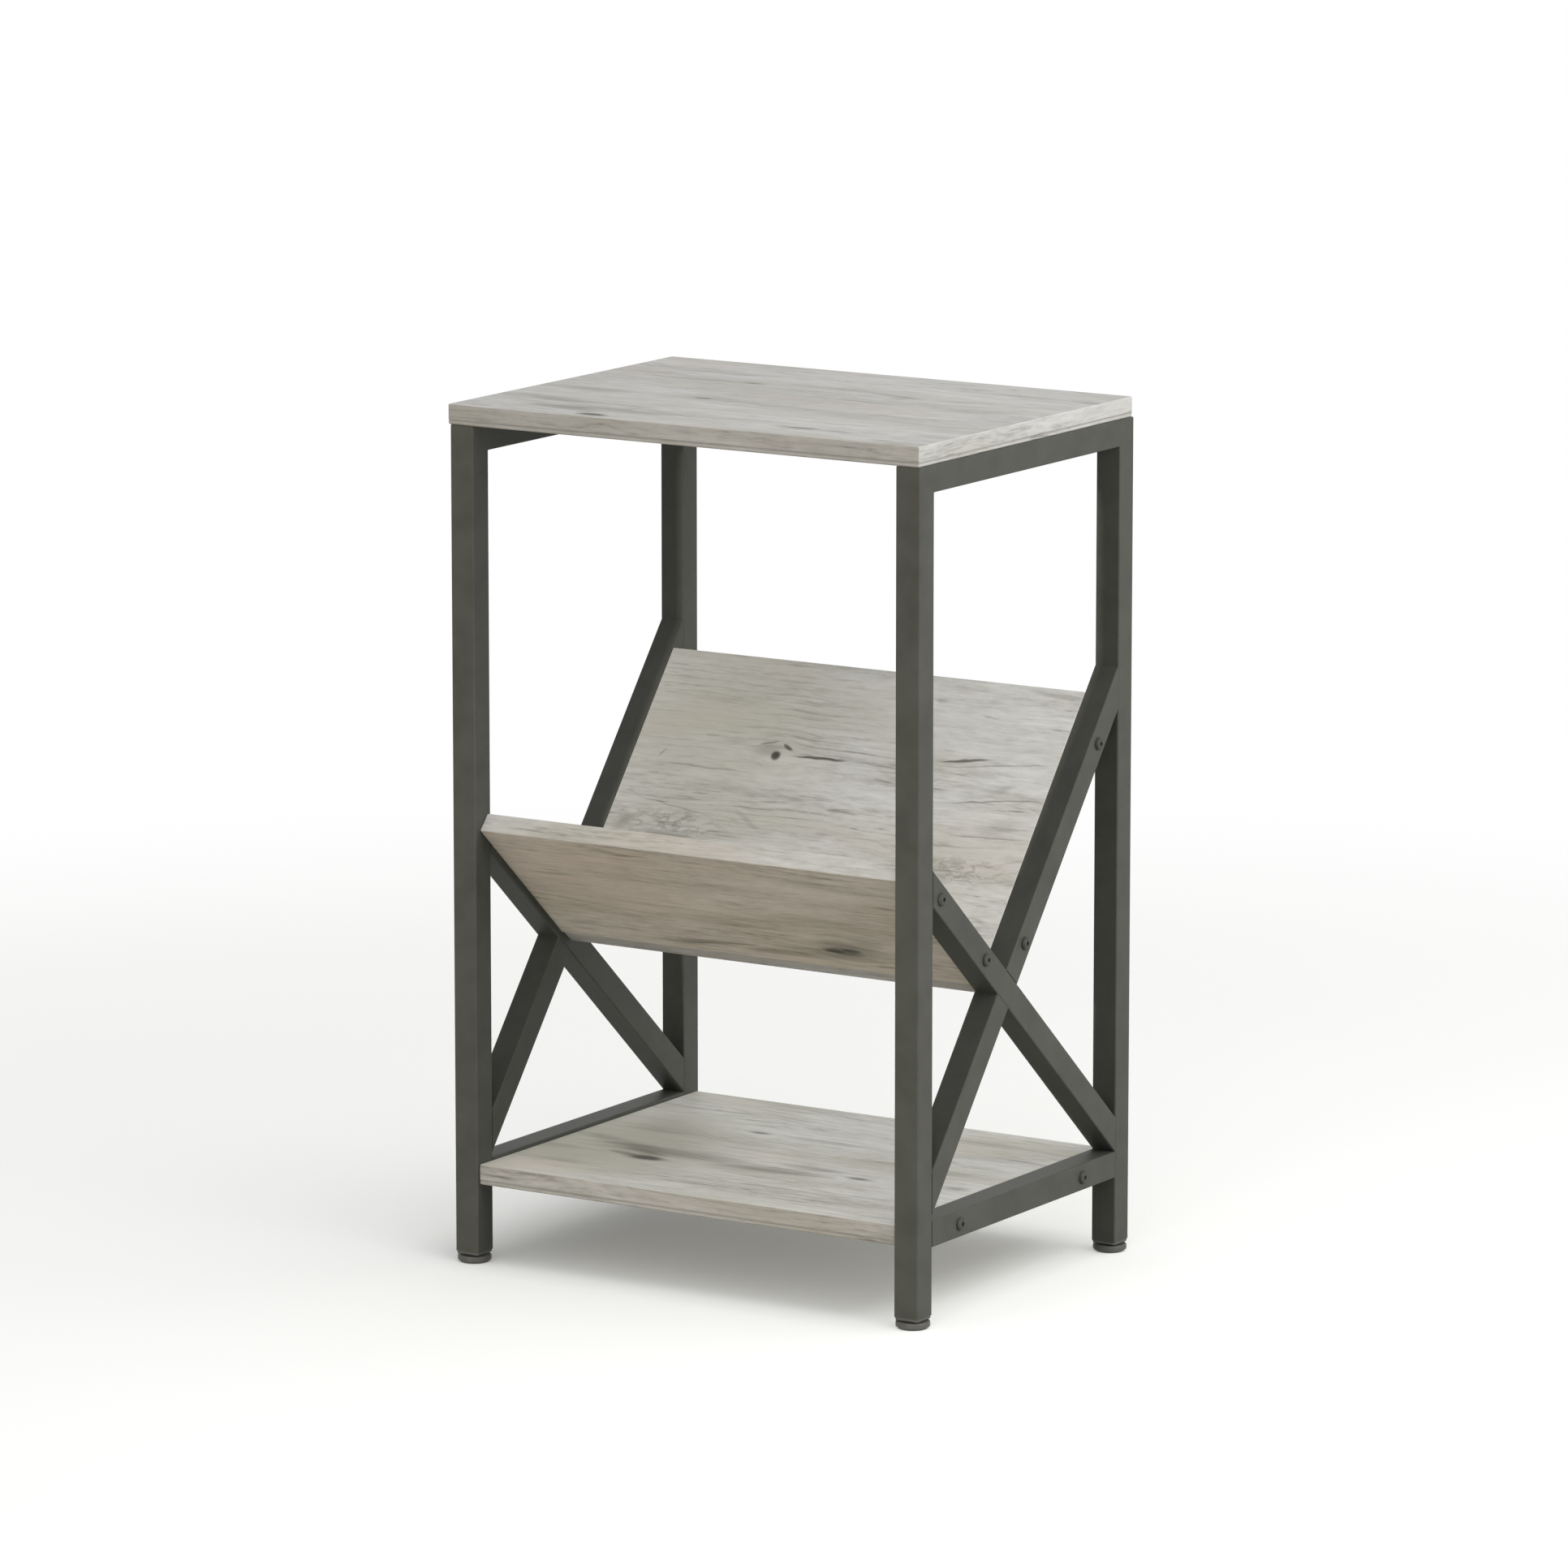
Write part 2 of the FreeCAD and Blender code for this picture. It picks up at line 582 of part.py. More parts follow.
def make_stud(label):
    """Levelling stud: hex collar on the pad, pivot tip below it, threaded shank above it."""
    body = keep(new_body(label))
    middle = [("0", "0")]
    add_pad(body, polygon(body, "collar", "XY_Plane", hexagon("sizes.collar_width")), "sizes.collar_height")
    shank = circles(body, "shank", "XY_Plane", middle, "sizes.stud_diameter", "sizes.collar_height")
    add_pad(body, shank, "sizes.stud_length")
    end = value("sizes.collar_height + sizes.stud_length")
    dress(body, "Chamfer", "Size", "sizes.stud_bevel", lies_at(end))
    tip = circles(body, "tip", "XY_Plane", middle, "sizes.tip_diameter")
    add_pad(body, tip, "sizes.tip_length", backwards=True)
    return body


def make_feet():
    """Plug, stud and pad at the foot of each leg."""
    for side, sign in SIDES.items():
        for end, toward in ENDS.items():
            corner = "%s_%s" % (side, end)
            across = sign + "places.tube_x"
            along = toward + "places.leg_y"
            place(make_plug(corner + "_leg_plug"), across, along, "places.leg_bottom")
            place(make_stud(corner + "_foot_stud"), across, along, "sizes.pad_height")
            place(make_pad(corner + "_foot_pad"), across, along, "0")


def check_and_write():
    """Stops on any failed object, then writes each sub-part to its own file."""
    doc.recompute()
    for item in doc.Objects:
        if "Invalid" in item.State or "Error" in item.State:
            raise RuntimeError("%s is %s" % (item.Label, item.State))
    for item in nodes:
        if item.Shape.isNull() or not item.Shape.isValid():
            raise RuntimeError("%s has no valid shape" % item.Label)
    os.makedirs("parts", exist_ok=True)
    for item in nodes:
        item.Shape.exportStep(os.path.join("parts", item.Label + ".step"))
        print("%-26s %d solids %10.1f mm3" % (item.Label, len(item.Shape.Solids), item.Shape.Volume))


sizes = make_sizes()
make_places()

# Bolt centres, in the side view for the boards' ends and from above for the table top.
FRONT_PANEL_BOLTS = [
    short_point("sizes.front_bolt_low", "0"),
    short_point("places.front_run - sizes.front_bolt_high", "0"),
]
BACK_PANEL_BOLTS = [
    tall_point("sizes.back_bolt_low", "0"),
    tall_point("places.back_run - sizes.back_bolt_high", "0"),
]
SHELF_BOLTS = [
    ("-sizes.shelf_bolt_front", "places.rail_middle"),
    ("sizes.shelf_bolt_back", "places.rail_middle"),
]
TOP_BOLTS = [
    (sign + "places.tube_x", toward + "sizes.top_bolt_reach")
    for sign in SIDES.values() for toward in ENDS.values()
]

for side_name, side_sign in SIDES.items():
    make_side_frame(side_name, side_sign)
make_table_top()
make_bottom_shelf()
make_rack()
make_fasteners()
make_feet()
check_and_write()
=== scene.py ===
import json
import math

import bmesh
import bpy
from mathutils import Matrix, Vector


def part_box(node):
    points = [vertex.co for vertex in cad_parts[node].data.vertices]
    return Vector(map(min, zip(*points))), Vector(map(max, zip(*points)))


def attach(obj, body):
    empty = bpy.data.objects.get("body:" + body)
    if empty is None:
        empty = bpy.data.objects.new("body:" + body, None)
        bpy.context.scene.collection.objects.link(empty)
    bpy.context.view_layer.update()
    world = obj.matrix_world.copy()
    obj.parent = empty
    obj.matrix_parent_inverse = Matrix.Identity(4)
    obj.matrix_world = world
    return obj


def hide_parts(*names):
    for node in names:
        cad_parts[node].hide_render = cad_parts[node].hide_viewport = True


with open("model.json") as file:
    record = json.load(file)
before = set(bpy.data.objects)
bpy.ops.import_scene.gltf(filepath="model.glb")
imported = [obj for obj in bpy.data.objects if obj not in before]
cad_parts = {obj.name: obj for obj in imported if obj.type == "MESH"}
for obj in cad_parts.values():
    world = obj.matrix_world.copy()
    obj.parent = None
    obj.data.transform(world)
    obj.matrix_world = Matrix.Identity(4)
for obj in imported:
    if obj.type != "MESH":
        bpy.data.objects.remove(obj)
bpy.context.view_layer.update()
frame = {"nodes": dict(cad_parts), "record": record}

# Looks of the magazine table: weathered grey oak boards, a dark powder-coated tube frame, dark feet.
# Metres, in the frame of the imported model. The table of marks in the wood is in millimetres.
MM = 0.001
CORNERS = ("left_front", "left_rear", "right_front", "right_rear")

# The camera that took the photograph, fitted to its corners. Its focal length is in pixels.
PHOTO_SIDE = 1932
CAMERA_FOCAL = 10975.95
CAMERA_AZIMUTH = math.radians(32.304)
CAMERA_ELEVATION = math.radians(10.599)
CAMERA_DISTANCE = 6.5377
CAMERA_TARGET = Vector((-0.00427, -0.00566, 0.3559))
SENSOR_WIDTH = 36.0

# Studio. The floor is white to the eye and sends less light back to the table.
# It shows the shadow within the first reach from the middle, and is plain white beyond the second.
FLOOR_RADIUS = 40.0
FLOOR_SIDES = 96
FLOOR_SEEN = (0.98, 0.98, 0.975, 1.0)
FLOOR_BOUNCE = (0.50, 0.48, 0.445, 1.0)
SHADOW_REACH = (0.75, 1.9)
WORLD_COLOUR = (1.0, 1.0, 0.99, 1.0)
WHITE = (1.0, 1.0, 1.0, 1.0)

# A wide glow on the right lights the studio. Its level rises between two cosines of the angle from its place.
GLOW_AZIMUTH = math.radians(66)
GLOW_ELEVATION = math.radians(38)
GLOW_SPREAD = (-0.2, 0.9)
GLOW_LEVELS = (0.15, 1.1)

# Lamps: degrees to the right of the front, degrees above the floor, distance, size, level, shadows, colour.
# At level 1, a white face that looks straight at the lamp is lit to white.
# The boards' lamp throws no shadow, so that the rack and the shelf are lit under the top.
# The shelf alone shades the floor's lamp, so that the shadow stays close under it.
# The lamp behind the table lights the sides that the photograph doesn't show, and isn't mirrored.
PLAIN_LIGHT = (1.0, 0.99, 0.97)
WARM_LIGHT = (1.0, 0.92, 0.80)
FLOOR_LIGHT = (0.985, 1.0, 0.97)
UNMIRRORED_LAMP = "back_fill"
LAMPS = {
    "board_lamp": (70, 40, 2.4, 1.6, 0.62, False, PLAIN_LIGHT),
    "metal_lamp": (92, 20, 2.4, 1.2, 0.74, True, PLAIN_LIGHT),
    "metal_fill": (0, 12, 12.0, 0.3, 0.52, True, WARM_LIGHT),
    "back_fill": (218, 2, 2.4, 0.8, 0.46, True, PLAIN_LIGHT),
    "floor_lamp": (85, 58, 3.0, 2.1, 0.36, True, FLOOR_LIGHT),
    "floor_fill": (70, 40, 2.4, 1.6, 0.265, False, FLOOR_LIGHT),
}

# Boards. Those with an edge band have its seam round their edges, at a height above the underside, as a
# shallow groove.
# The groove is darkened with painted shade, which fades from one distance to another, between two strengths.
BANDED_BOARDS = ("table_top", "bottom_shelf")
BOARD_EASE = 0.7 * MM
BOARD_BEVEL = 0.8 * MM
SEAM_HEIGHT = 3.2 * MM
SEAM_DEPTH = 0.35 * MM
SEAM_SHADE = (0.35 * MM, 1.1 * MM, 0.62, 0.0)
BAND_INSET = SEAM_DEPTH / 4
CORNER_STEPS = 4

# A corner is at one face of the solid within this share of the thickness.
NEAR_FACE = 0.1

# A face is a broad one where the cosine of its lean is above this.
FACE_TURN = 0.7

# Which side of a board a place in its wood belongs to. A fade goes over to a side just before its number.
BROAD_FACE = 0.0
BACK_FACE = 1.0
SHORT_EDGE = 2.0
LONG_EDGE = 3.0
SIDE_STEP = (0.6, 0.4)
OFF_EDGE = -1.0

# Levelling studs, M8. The thread falls from its crest, in the middle of a pitch, by the slope in each pitch.
# Crest and slope are in depths of the thread, and what is outside 0 to 1 is cut flat.
THREAD_PITCH = 1.25 * MM
THREAD_DEPTH = 0.65 * MM
THREAD_CREST = 1.35
THREAD_SLOPE = 4
THREAD_MIDDLE = 0.5
THREAD_STEPS = 8
STUD_RADIUS = 3.95 * MM
STUD_LEAD = 1.0 * MM
TIP_RADIUS = 3.0 * MM
TIP_LENGTH = 3.0 * MM
COLLAR_FLATS = 13.0 * MM
COLLAR_HEIGHT = 2.2 * MM
COLLAR_ROUND = 0.5 * MM
STUD_SIDES = 48

# Noises: scale on each axis, detail and roughness. In the grain, the axes run along it, across it, and
# from one side of the board to the next.
NOISE_MIDDLE = 0.5
DRIFT_NOISE = ((5.0, 9.0, 1.0), 2.0, 0.5)
WOBBLE_NOISE = ((60.0, 130.0, 1.0), 2.0, 0.5)
CURL_NOISE = ((46.0, 105.0, 1.0), 4.0, 0.62)
GRAIN_NOISES = {
    "soft": ((4.5, 26.0, 1.0), 3.0, 0.55),
    "streak": ((8.0, 130.0, 1.0), 4.0, 0.6),
    "mottle": ((26.0, 190.0, 3.0), 6.0, 0.7),
    "fleck": ((80.0, 330.0, 2.0), 3.0, 0.6),
    "fibre": ((55.0, 620.0, 1.0), 3.0, 0.6),
    "olive": ((5.0, 20.0, 2.0), 2.0, 0.5),
    "blush": ((6.0, 24.0, 5.0), 2.0, 0.5),
    "wander": ((14.0, 60.0, 1.0), 3.0, 0.6),
    "shown": ((6.0, 26.0, 2.0), 2.0, 0.5),
    "wear": ((7.0, 15.0, 6.0), 2.0, 0.5),
    "dash": ((40.0, 420.0, 1.0), 2.0, 0.5),
    "group": ((9.0, 50.0, 4.0), 2.0, 0.5),
    "hair": ((15.0, 380.0, 1.0), 2.0, 0.5),
}

# Fades of these noises: where each starts and ends, and its levels there where they aren't 0 and 1.
GRAIN_FADES = {
    "soft": (0.35, 0.6, 1.0, 0.4),
    "olive": (0.46, 0.68, 0.0, 0.45),
    "blush": (0.54, 0.74, 0.0, 0.35),
    "shown": (0.44, 0.66),
    "wear": (0.44, 0.64, 0.0, 0.8),
    "dash": (0.56, 0.72),
    "group": (0.46, 0.68),
    "hair": (0.53, 0.7),
}

# Growth rings: how many in a metre, half the way from one to the next, and the fade of a line to its rim.
RINGS_PER_METRE = 170.0
RING_HALF = 0.5
RING_LINE = (0.0, 0.16, 1.0, 0.0)

# Grain: how far it drifts, and how far apart the layers of a board's sides are in the noises.
# A knot reaches some of its radii along and across the grain, and pushes it by a share of the reach across.
GRAIN_DRIFT = 8 * MM
SIDE_LAYERS = 3.7
KNOT_REACH_ALONG = 4.5
KNOT_REACH_ACROSS = 1.9
KNOT_PUSH = 0.85

# Wood: weights of the fields in its tone and in its relief, the relief's height and strength, its gloss,
# and how its roughness follows the streaks, as a gain and a level.
TONE_LEVEL = -0.805
TONE_WEIGHTS = {
    "soft": 0.8,
    "streak": 0.4,
    "mottle": 0.55,
    "patchy": 1.0,
    "fleck": 0.55,
    "fibre": 0.5,
    "rings": -0.26,
    "ticks": -0.42,
    "hairs": -0.22,
}
RELIEF_WEIGHTS = {"streak": 0.6, "fibre": 0.4, "ticks": -0.5, "dark": -1.0}
WOOD_RELIEF = (0.25 * MM, 0.3)
WOOD_ROUGHNESS = (-0.18, 0.74)
WOOD_GLOSS = 0.15

# Colours of the wood, from dark to light, of its casts and marks, and the tint of the short edges. That tint
# is partly painted light: it sets how bright the ends look under the lamps.
WOOD_RAMP = (
    (0.10, (0.255, 0.249, 0.226)),
    (0.36, (0.408, 0.402, 0.378)),
    (0.50, (0.482, 0.477, 0.456)),
    (0.66, (0.540, 0.536, 0.517)),
    (0.92, (0.610, 0.608, 0.592)),
)
OLIVE_CAST = (0.440, 0.426, 0.368)
BLUSH_CAST = (0.535, 0.474, 0.432)
SMEAR_COLOUR = (0.125, 0.120, 0.098)
CRACK_COLOUR = (0.060, 0.056, 0.046)
# Painted shade in the groove of the edge band's seam.
SEAM_PAINTED_SHADE = (0.235, 0.226, 0.200)
SHORT_EDGE_TINT = (0.97, 0.98, 1.0)

# Marks: the share of each kind that is solid before it fades to its rim, how far the grain shakes them,
# how the streaks break up a smear, as a gain and a level, and the fades of curled lines and of their place.
PATCH_SOLID = 0.3
SMEAR_SOLID = 0.1
CRACK_SOLID = 0.5
MARK_RIM = 1.1
MARK_WOBBLE = 3.2 * MM
SMEAR_BREAKS = (1.1, -0.55)
CURL_LINE = (0.0, 0.07, 0.38, 0.0)
CURL_PLACE = (0.35, 1.1, 1.0, 0.0)

# Finishes of the other pieces. Tone and relief are weights of the noises, which lie in the piece's own
# space. The relief also has a height and a strength. Roughness is a noise, its gain and a level.
FINISHES = {
    # Matte dark grey powder coat with a fine orange peel.
    "powder_coat": {
        "name": "powder_coat",
        "noises": {
            "cloud": ((38.0, 38.0, 38.0), 3.0, 0.55),
            "peel": ((620.0, 620.0, 620.0), 2.0, 0.5),
            "speck": ((2100.0, 2100.0, 2100.0), 1.0, 0.5),
        },
        "tone": {"cloud": 0.7, "speck": 0.3},
        "ramp": ((0.30, (0.047, 0.049, 0.043)), (0.50, (0.059, 0.061, 0.053)), (0.72, (0.070, 0.072, 0.063))),
        "roughness": ("cloud", 0.14, 0.42),
        "relief": ({"speck": 0.35, "peel": 1.0}, 0.06 * MM, 0.3),
        "shader": {"Specular_IOR_Level": 0.12},
    },
    # Dark coating that is rubbed in fine scratches.
    "bolt": {
        "name": "bolt_coat",
        "noises": {
            "scratch": ((900.0, 250.0, 2600.0), 3.0, 0.6),
            "cloud": ((240.0, 240.0, 240.0), 2.0, 0.5),
        },
        "tone": {"scratch": 0.5, "cloud": 0.5},
        "ramp": ((0.30, (0.040, 0.042, 0.037)), (0.55, (0.051, 0.053, 0.047)), (0.75, (0.066, 0.068, 0.060))),
        "roughness": ("scratch", 0.25, 0.42),
        "relief": ({"scratch": 1.0}, 0.03 * MM, 0.3),
        "shader": {"Specular_IOR_Level": 0.14},
    },
    # Moulded dark grey plastic with a fine spark-eroded grain.
    "foot_plastic": {
        "name": "foot_plastic",
        "noises": {
            "spark": ((1500.0, 1500.0, 1500.0), 3.0, 0.6),
            "cloud": ((90.0, 90.0, 90.0), 2.0, 0.5),
        },
        "tone": {"spark": 0.4, "cloud": 0.6},
        "ramp": ((0.30, (0.052, 0.052, 0.047)), (0.70, (0.076, 0.076, 0.070))),
        "roughness": ("spark", 0.3, 0.36),
        "relief": ({"spark": 1.0}, 0.05 * MM, 0.4),
        "shader": {"Specular_IOR_Level": 0.4},
    },
    # Turned brass without relief.
    "insert": {
        "name": "insert_brass",
        "noises": {"turned": ((3000.0, 200.0, 200.0), 2.0, 0.6)},
        "tone": {"turned": 1.0},
        "ramp": ((0.30, (0.50, 0.37, 0.15)), (0.70, (0.66, 0.51, 0.24))),
        "roughness": ("turned", 0.25, 0.2),
        "relief": None,
        "shader": {"Metallic": 1.0},
    },
    # Dark oxide steel with turned marks round the stud.
    "stud": {
        "name": "stud_steel",
        "noises": {
            "turned": ((60.0, 60.0, 6000.0), 2.0, 0.6),
            "cloud": ((300.0, 300.0, 300.0), 2.0, 0.5),
        },
        "tone": {"turned": 0.4, "cloud": 0.6},
        "ramp": ((0.30, (0.085, 0.083, 0.078)), (0.70, (0.150, 0.147, 0.140))),
        "roughness": ("turned", 0.3, 0.25),
        "relief": ({"turned": 1.0}, 0.02 * MM, 0.3),
        "shader": {"Metallic": 0.9},
    },
}

# Grain of each board: a direction on the side that its broad face looks to, the seed of its own noises,
# and tints that multiply its colour on the broad faces and on the long edges. The tints are partly the wood's
# own tone
# and partly painted light: they make each board lighter or darker by how it is lit, and their warmth on the
# front panel and on the long edges is a painted warm light from the front.
# The marks in the wood are placed from the middle of the broad face, in millimetres and degrees.
# A knot pushes the grain apart: along, across, radius.
# A smear is soft and a crack is crisp: along, across, half length, half width, turn, darkness.
# A swirl lifts the rings into arches: along, across, its reach along and across, height.
# A scribble is a place with curled lines: along, across, its reach along and across.
# A colour patch is a wide patch of another colour: along, across, half length, half width, strength, colour.
# Most are stains in the wood; the dark olive one on the shelf's left is partly the wood's tone and partly
# painted shade of the rack.
OLIVE = (0.430, 0.416, 0.340)
# Dark olive for the shelf's left, partly painted shade of the rack.
OLIVE_AND_PAINTED_SHADE = (0.370, 0.360, 0.305)
ROSE = (0.520, 0.440, 0.390)
MARKS = {
    "table_top": {
        "facing": (0, 0, 1),
        "seed": 1.7,
        "tint": (0.91, 0.91, 0.925),
        "edge_tint": (0.93, 0.885, 0.83),
        "knots": ((-82, -136, 6), (-58, -27, 4)),
        "smears": (
            (-82, -138, 16, 7, 0, 0.75), (-112, -120, 46, 14, -6, 0.5), (-58, -27, 17, 7, 0, 0.5),
            (-71, 58, 18, 7, 0, 0.5), (78, -116, 22, 6, 0, 0.5), (114, -118, 18, 5, 0, 0.35),
            (186, -106, 34, 14, 6, 0.32), (-110, 57, 72, 8, 2, 0.28), (0, 67, 62, 7, 1, 0.26),
            (50, 59, 42, 7, -14, 0.28), (116, 56, 40, 7, 14, 0.24), (-20, -30, 82, 7, -2, 0.26),
            (24, -104, 52, 8, 6, 0.24), (-150, -30, 44, 14, 0, 0.34), (150, 20, 46, 10, 3, 0.16),
            (-150, -84, 50, 12, -3, 0.4), (-60, -112, 64, 10, 2, 0.32), (-130, 96, 60, 10, 0, 0.28),
        ),
        "cracks": (
            (-82, -138, 12, 4.5, 0, 0.6), (-60, -27, 9, 2.4, 0, 0.5), (-68, 58, 9, 1.6, 0, 0.45),
            (82, -116, 12, 1.6, 0, 0.45),
        ),
        "swirls": ((-110, -90, 90, 26, 22), (60, 20, 120, 34, 26), (120, -60, 70, 20, -16)),
        "scribbles": (),
        "colour_patches": ((-120, -90, 80, 50, 0.25, OLIVE),),
    },
    "bottom_shelf": {
        "facing": (0, 0, 1),
        "seed": 5.3,
        "tint": (1.05, 1.05, 1.03),
        "edge_tint": (1.08, 1.02, 0.95),
        "knots": ((-89, -63, 9), (-62, 51, 5)),
        "smears": (
            (-89, -63, 22, 10, 0, 0.85), (-80, -40, 84, 20, 2, 0.52), (-106, -38, 60, 17, -12, 0.68),
            (-98, -46, 36, 10, -12, 0.78), (8, -50, 62, 13, 6, 0.56),
            (38, -30, 36, 10, 0, 0.46), (81, -38, 15, 7, 0, 0.6), (157, -28, 15, 7, 0, 0.42),
            (-62, 51, 15, 7, 0, 0.6), (0, 51, 66, 6, 0, 0.28), (-130, 20, 46, 14, 4, 0.26),
            (-88, 140, 60, 8, 0, 0.24), (60, 110, 70, 10, 2, 0.2), (120, -110, 50, 12, 2, 0.22),
            (-152, -22, 34, 10, -8, 0.42), (-168, -62, 26, 9, 0, 0.26), (-140, -102, 36, 9, 4, 0.24),
            (98, 108, 46, 12, 0, 0.3), (112, 64, 40, 9, 3, 0.26), (124, 14, 36, 9, -3, 0.22),
        ),
        "cracks": (
            (-89, -63, 15, 6, 0, 0.7), (-112, -58, 16, 4, -10, 0.4), (-60, 51, 8, 2, 0, 0.5),
            (80, -38, 8, 2, 0, 0.4),
        ),
        "swirls": ((-60, -40, 100, 30, 24), (90, 60, 110, 36, 26), (-130, 90, 60, 20, -14)),
        "scribbles": (),
        "colour_patches": (
            # The first patch darkens the shelf's left: partly olive tone, partly painted shade of the rack.
            (-145, -40, 120, 130, 0.8, OLIVE_AND_PAINTED_SHADE), (-150, -125, 50, 26, 0.3, ROSE), (120, 112, 70, 34, 0.4, OLIVE),
        ),
    },
    "rack_back_panel": {
        "facing": (0, -1, 1),
        "seed": 9.1,
        "tint": (1.08, 1.08, 1.07),
        "edge_tint": (0.92, 0.89, 0.86),
        "knots": ((-57, 42, 4.2),),
        "smears": (
            (-57, 42, 5.4, 4.6, 0, 0.95), (-66, 46, 16, 9, 10, 0.36), (-95, 50, 26, 4, 4, 0.24),
            (142, 35, 12, 5, 20, 0.3), (150, 4, 20, 9, 12, 0.22), (64, 102, 8, 2.4, 0, 0.4),
            (60, 50, 8, 4, 0, 0.25), (120, -62, 26, 5, -14, 0.28), (162, -72, 10, 3, -14, 0.36),
            (110, -40, 22, 8, 0, 0.2), (54, -44, 14, 5, 0, 0.26), (-164, -26, 12, 7, 30, 0.42),
            (-120, -34, 30, 4, -6, 0.42), (-60, -14, 22, 3, -30, 0.24), (0, 122, 120, 5, 1, 0.2),
            (-110, 84, 60, 4, 0, 0.14), (160, 116, 40, 3, -6, 0.3), (-60, 10, 60, 6, -4, 0.14),
        ),
        "cracks": (
            (-57, 42, 4.6, 4.2, 0, 0.85), (-18, 43.6, 27, 1.5, 2, 0.85), (-49, 50, 6, 1.9, -28, 0.8),
            (-66, 52, 9, 1.2, 14, 0.4),
            (32, 43, 30, 0.9, -3, 0.3), (103, 55, 25, 1.3, 8, 0.75), (132, 54, 50, 0.8, 7, 0.35),
            (134, 24, 44, 0.8, 7, 0.45), (142, -5, 38, 0.9, 2, 0.4), (-120, 26, 50, 0.9, 0, 0.3),
            (-154, 34, 5, 0.8, 55, 0.4), (70, 36, 34, 0.7, 3, 0.25), (-128, -9, 40, 0.8, -8, 0.3),
        ),
        "swirls": ((-140, 12, 62, 16, 20), (-128, -24, 30, 8, 10), (120, -40, 90, 26, 20)),
        "scribbles": ((-128, -24, 62, 15), (130, -34, 50, 14)),
        "colour_patches": ((-120, 50, 120, 70, 0.42, OLIVE),),
    },
    "rack_front_panel": {
        "facing": (0, -1, -1),
        "seed": 13.4,
        "tint": (1.2, 1.11, 1.0),
        "edge_tint": (1.06, 1.03, 0.98),
        "knots": ((80, -45, 5),),
        "smears": (
            (80, -46, 25, 8, -5, 0.8), (72, -52, 44, 9, 3, 0.42), (-40, -56, 54, 6, 5, 0.56),
            (84, -40, 36, 17, -6, 0.46), (30, -57, 56, 7, 3, 0.44), (104, -30, 26, 12, 0, 0.32),
            (-74, 62, 24, 4, -8, 0.34), (-140, 20, 26, 3, 4, 0.28), (147, 28, 14, 3, 0, 0.45),
            (20, 30, 70, 10, 2, 0.16), (120, 48, 60, 8, -3, 0.2), (-150, -50, 26, 5, 10, 0.25),
            (-20, 70, 90, 5, -2, 0.2), (60, -4, 60, 8, 2, 0.14),
        ),
        "cracks": (
            (71, -46, 11, 3.2, 0, 0.72), (87, -43, 10, 3, 0, 0.7), (-56, 60, 20, 0.9, 4, 0.5),
            (-60, -60, 30, 1.1, 5, 0.4), (-14, -54, 20, 0.9, 6, 0.35),
        ),
        "swirls": ((-90, -40, 110, 22, 16), (100, 20, 120, 26, 18)),
        "scribbles": (),
        "colour_patches": ((-110, 20, 110, 70, 0.26, ROSE), (70, -40, 90, 40, 0.26, OLIVE)),
    },
}


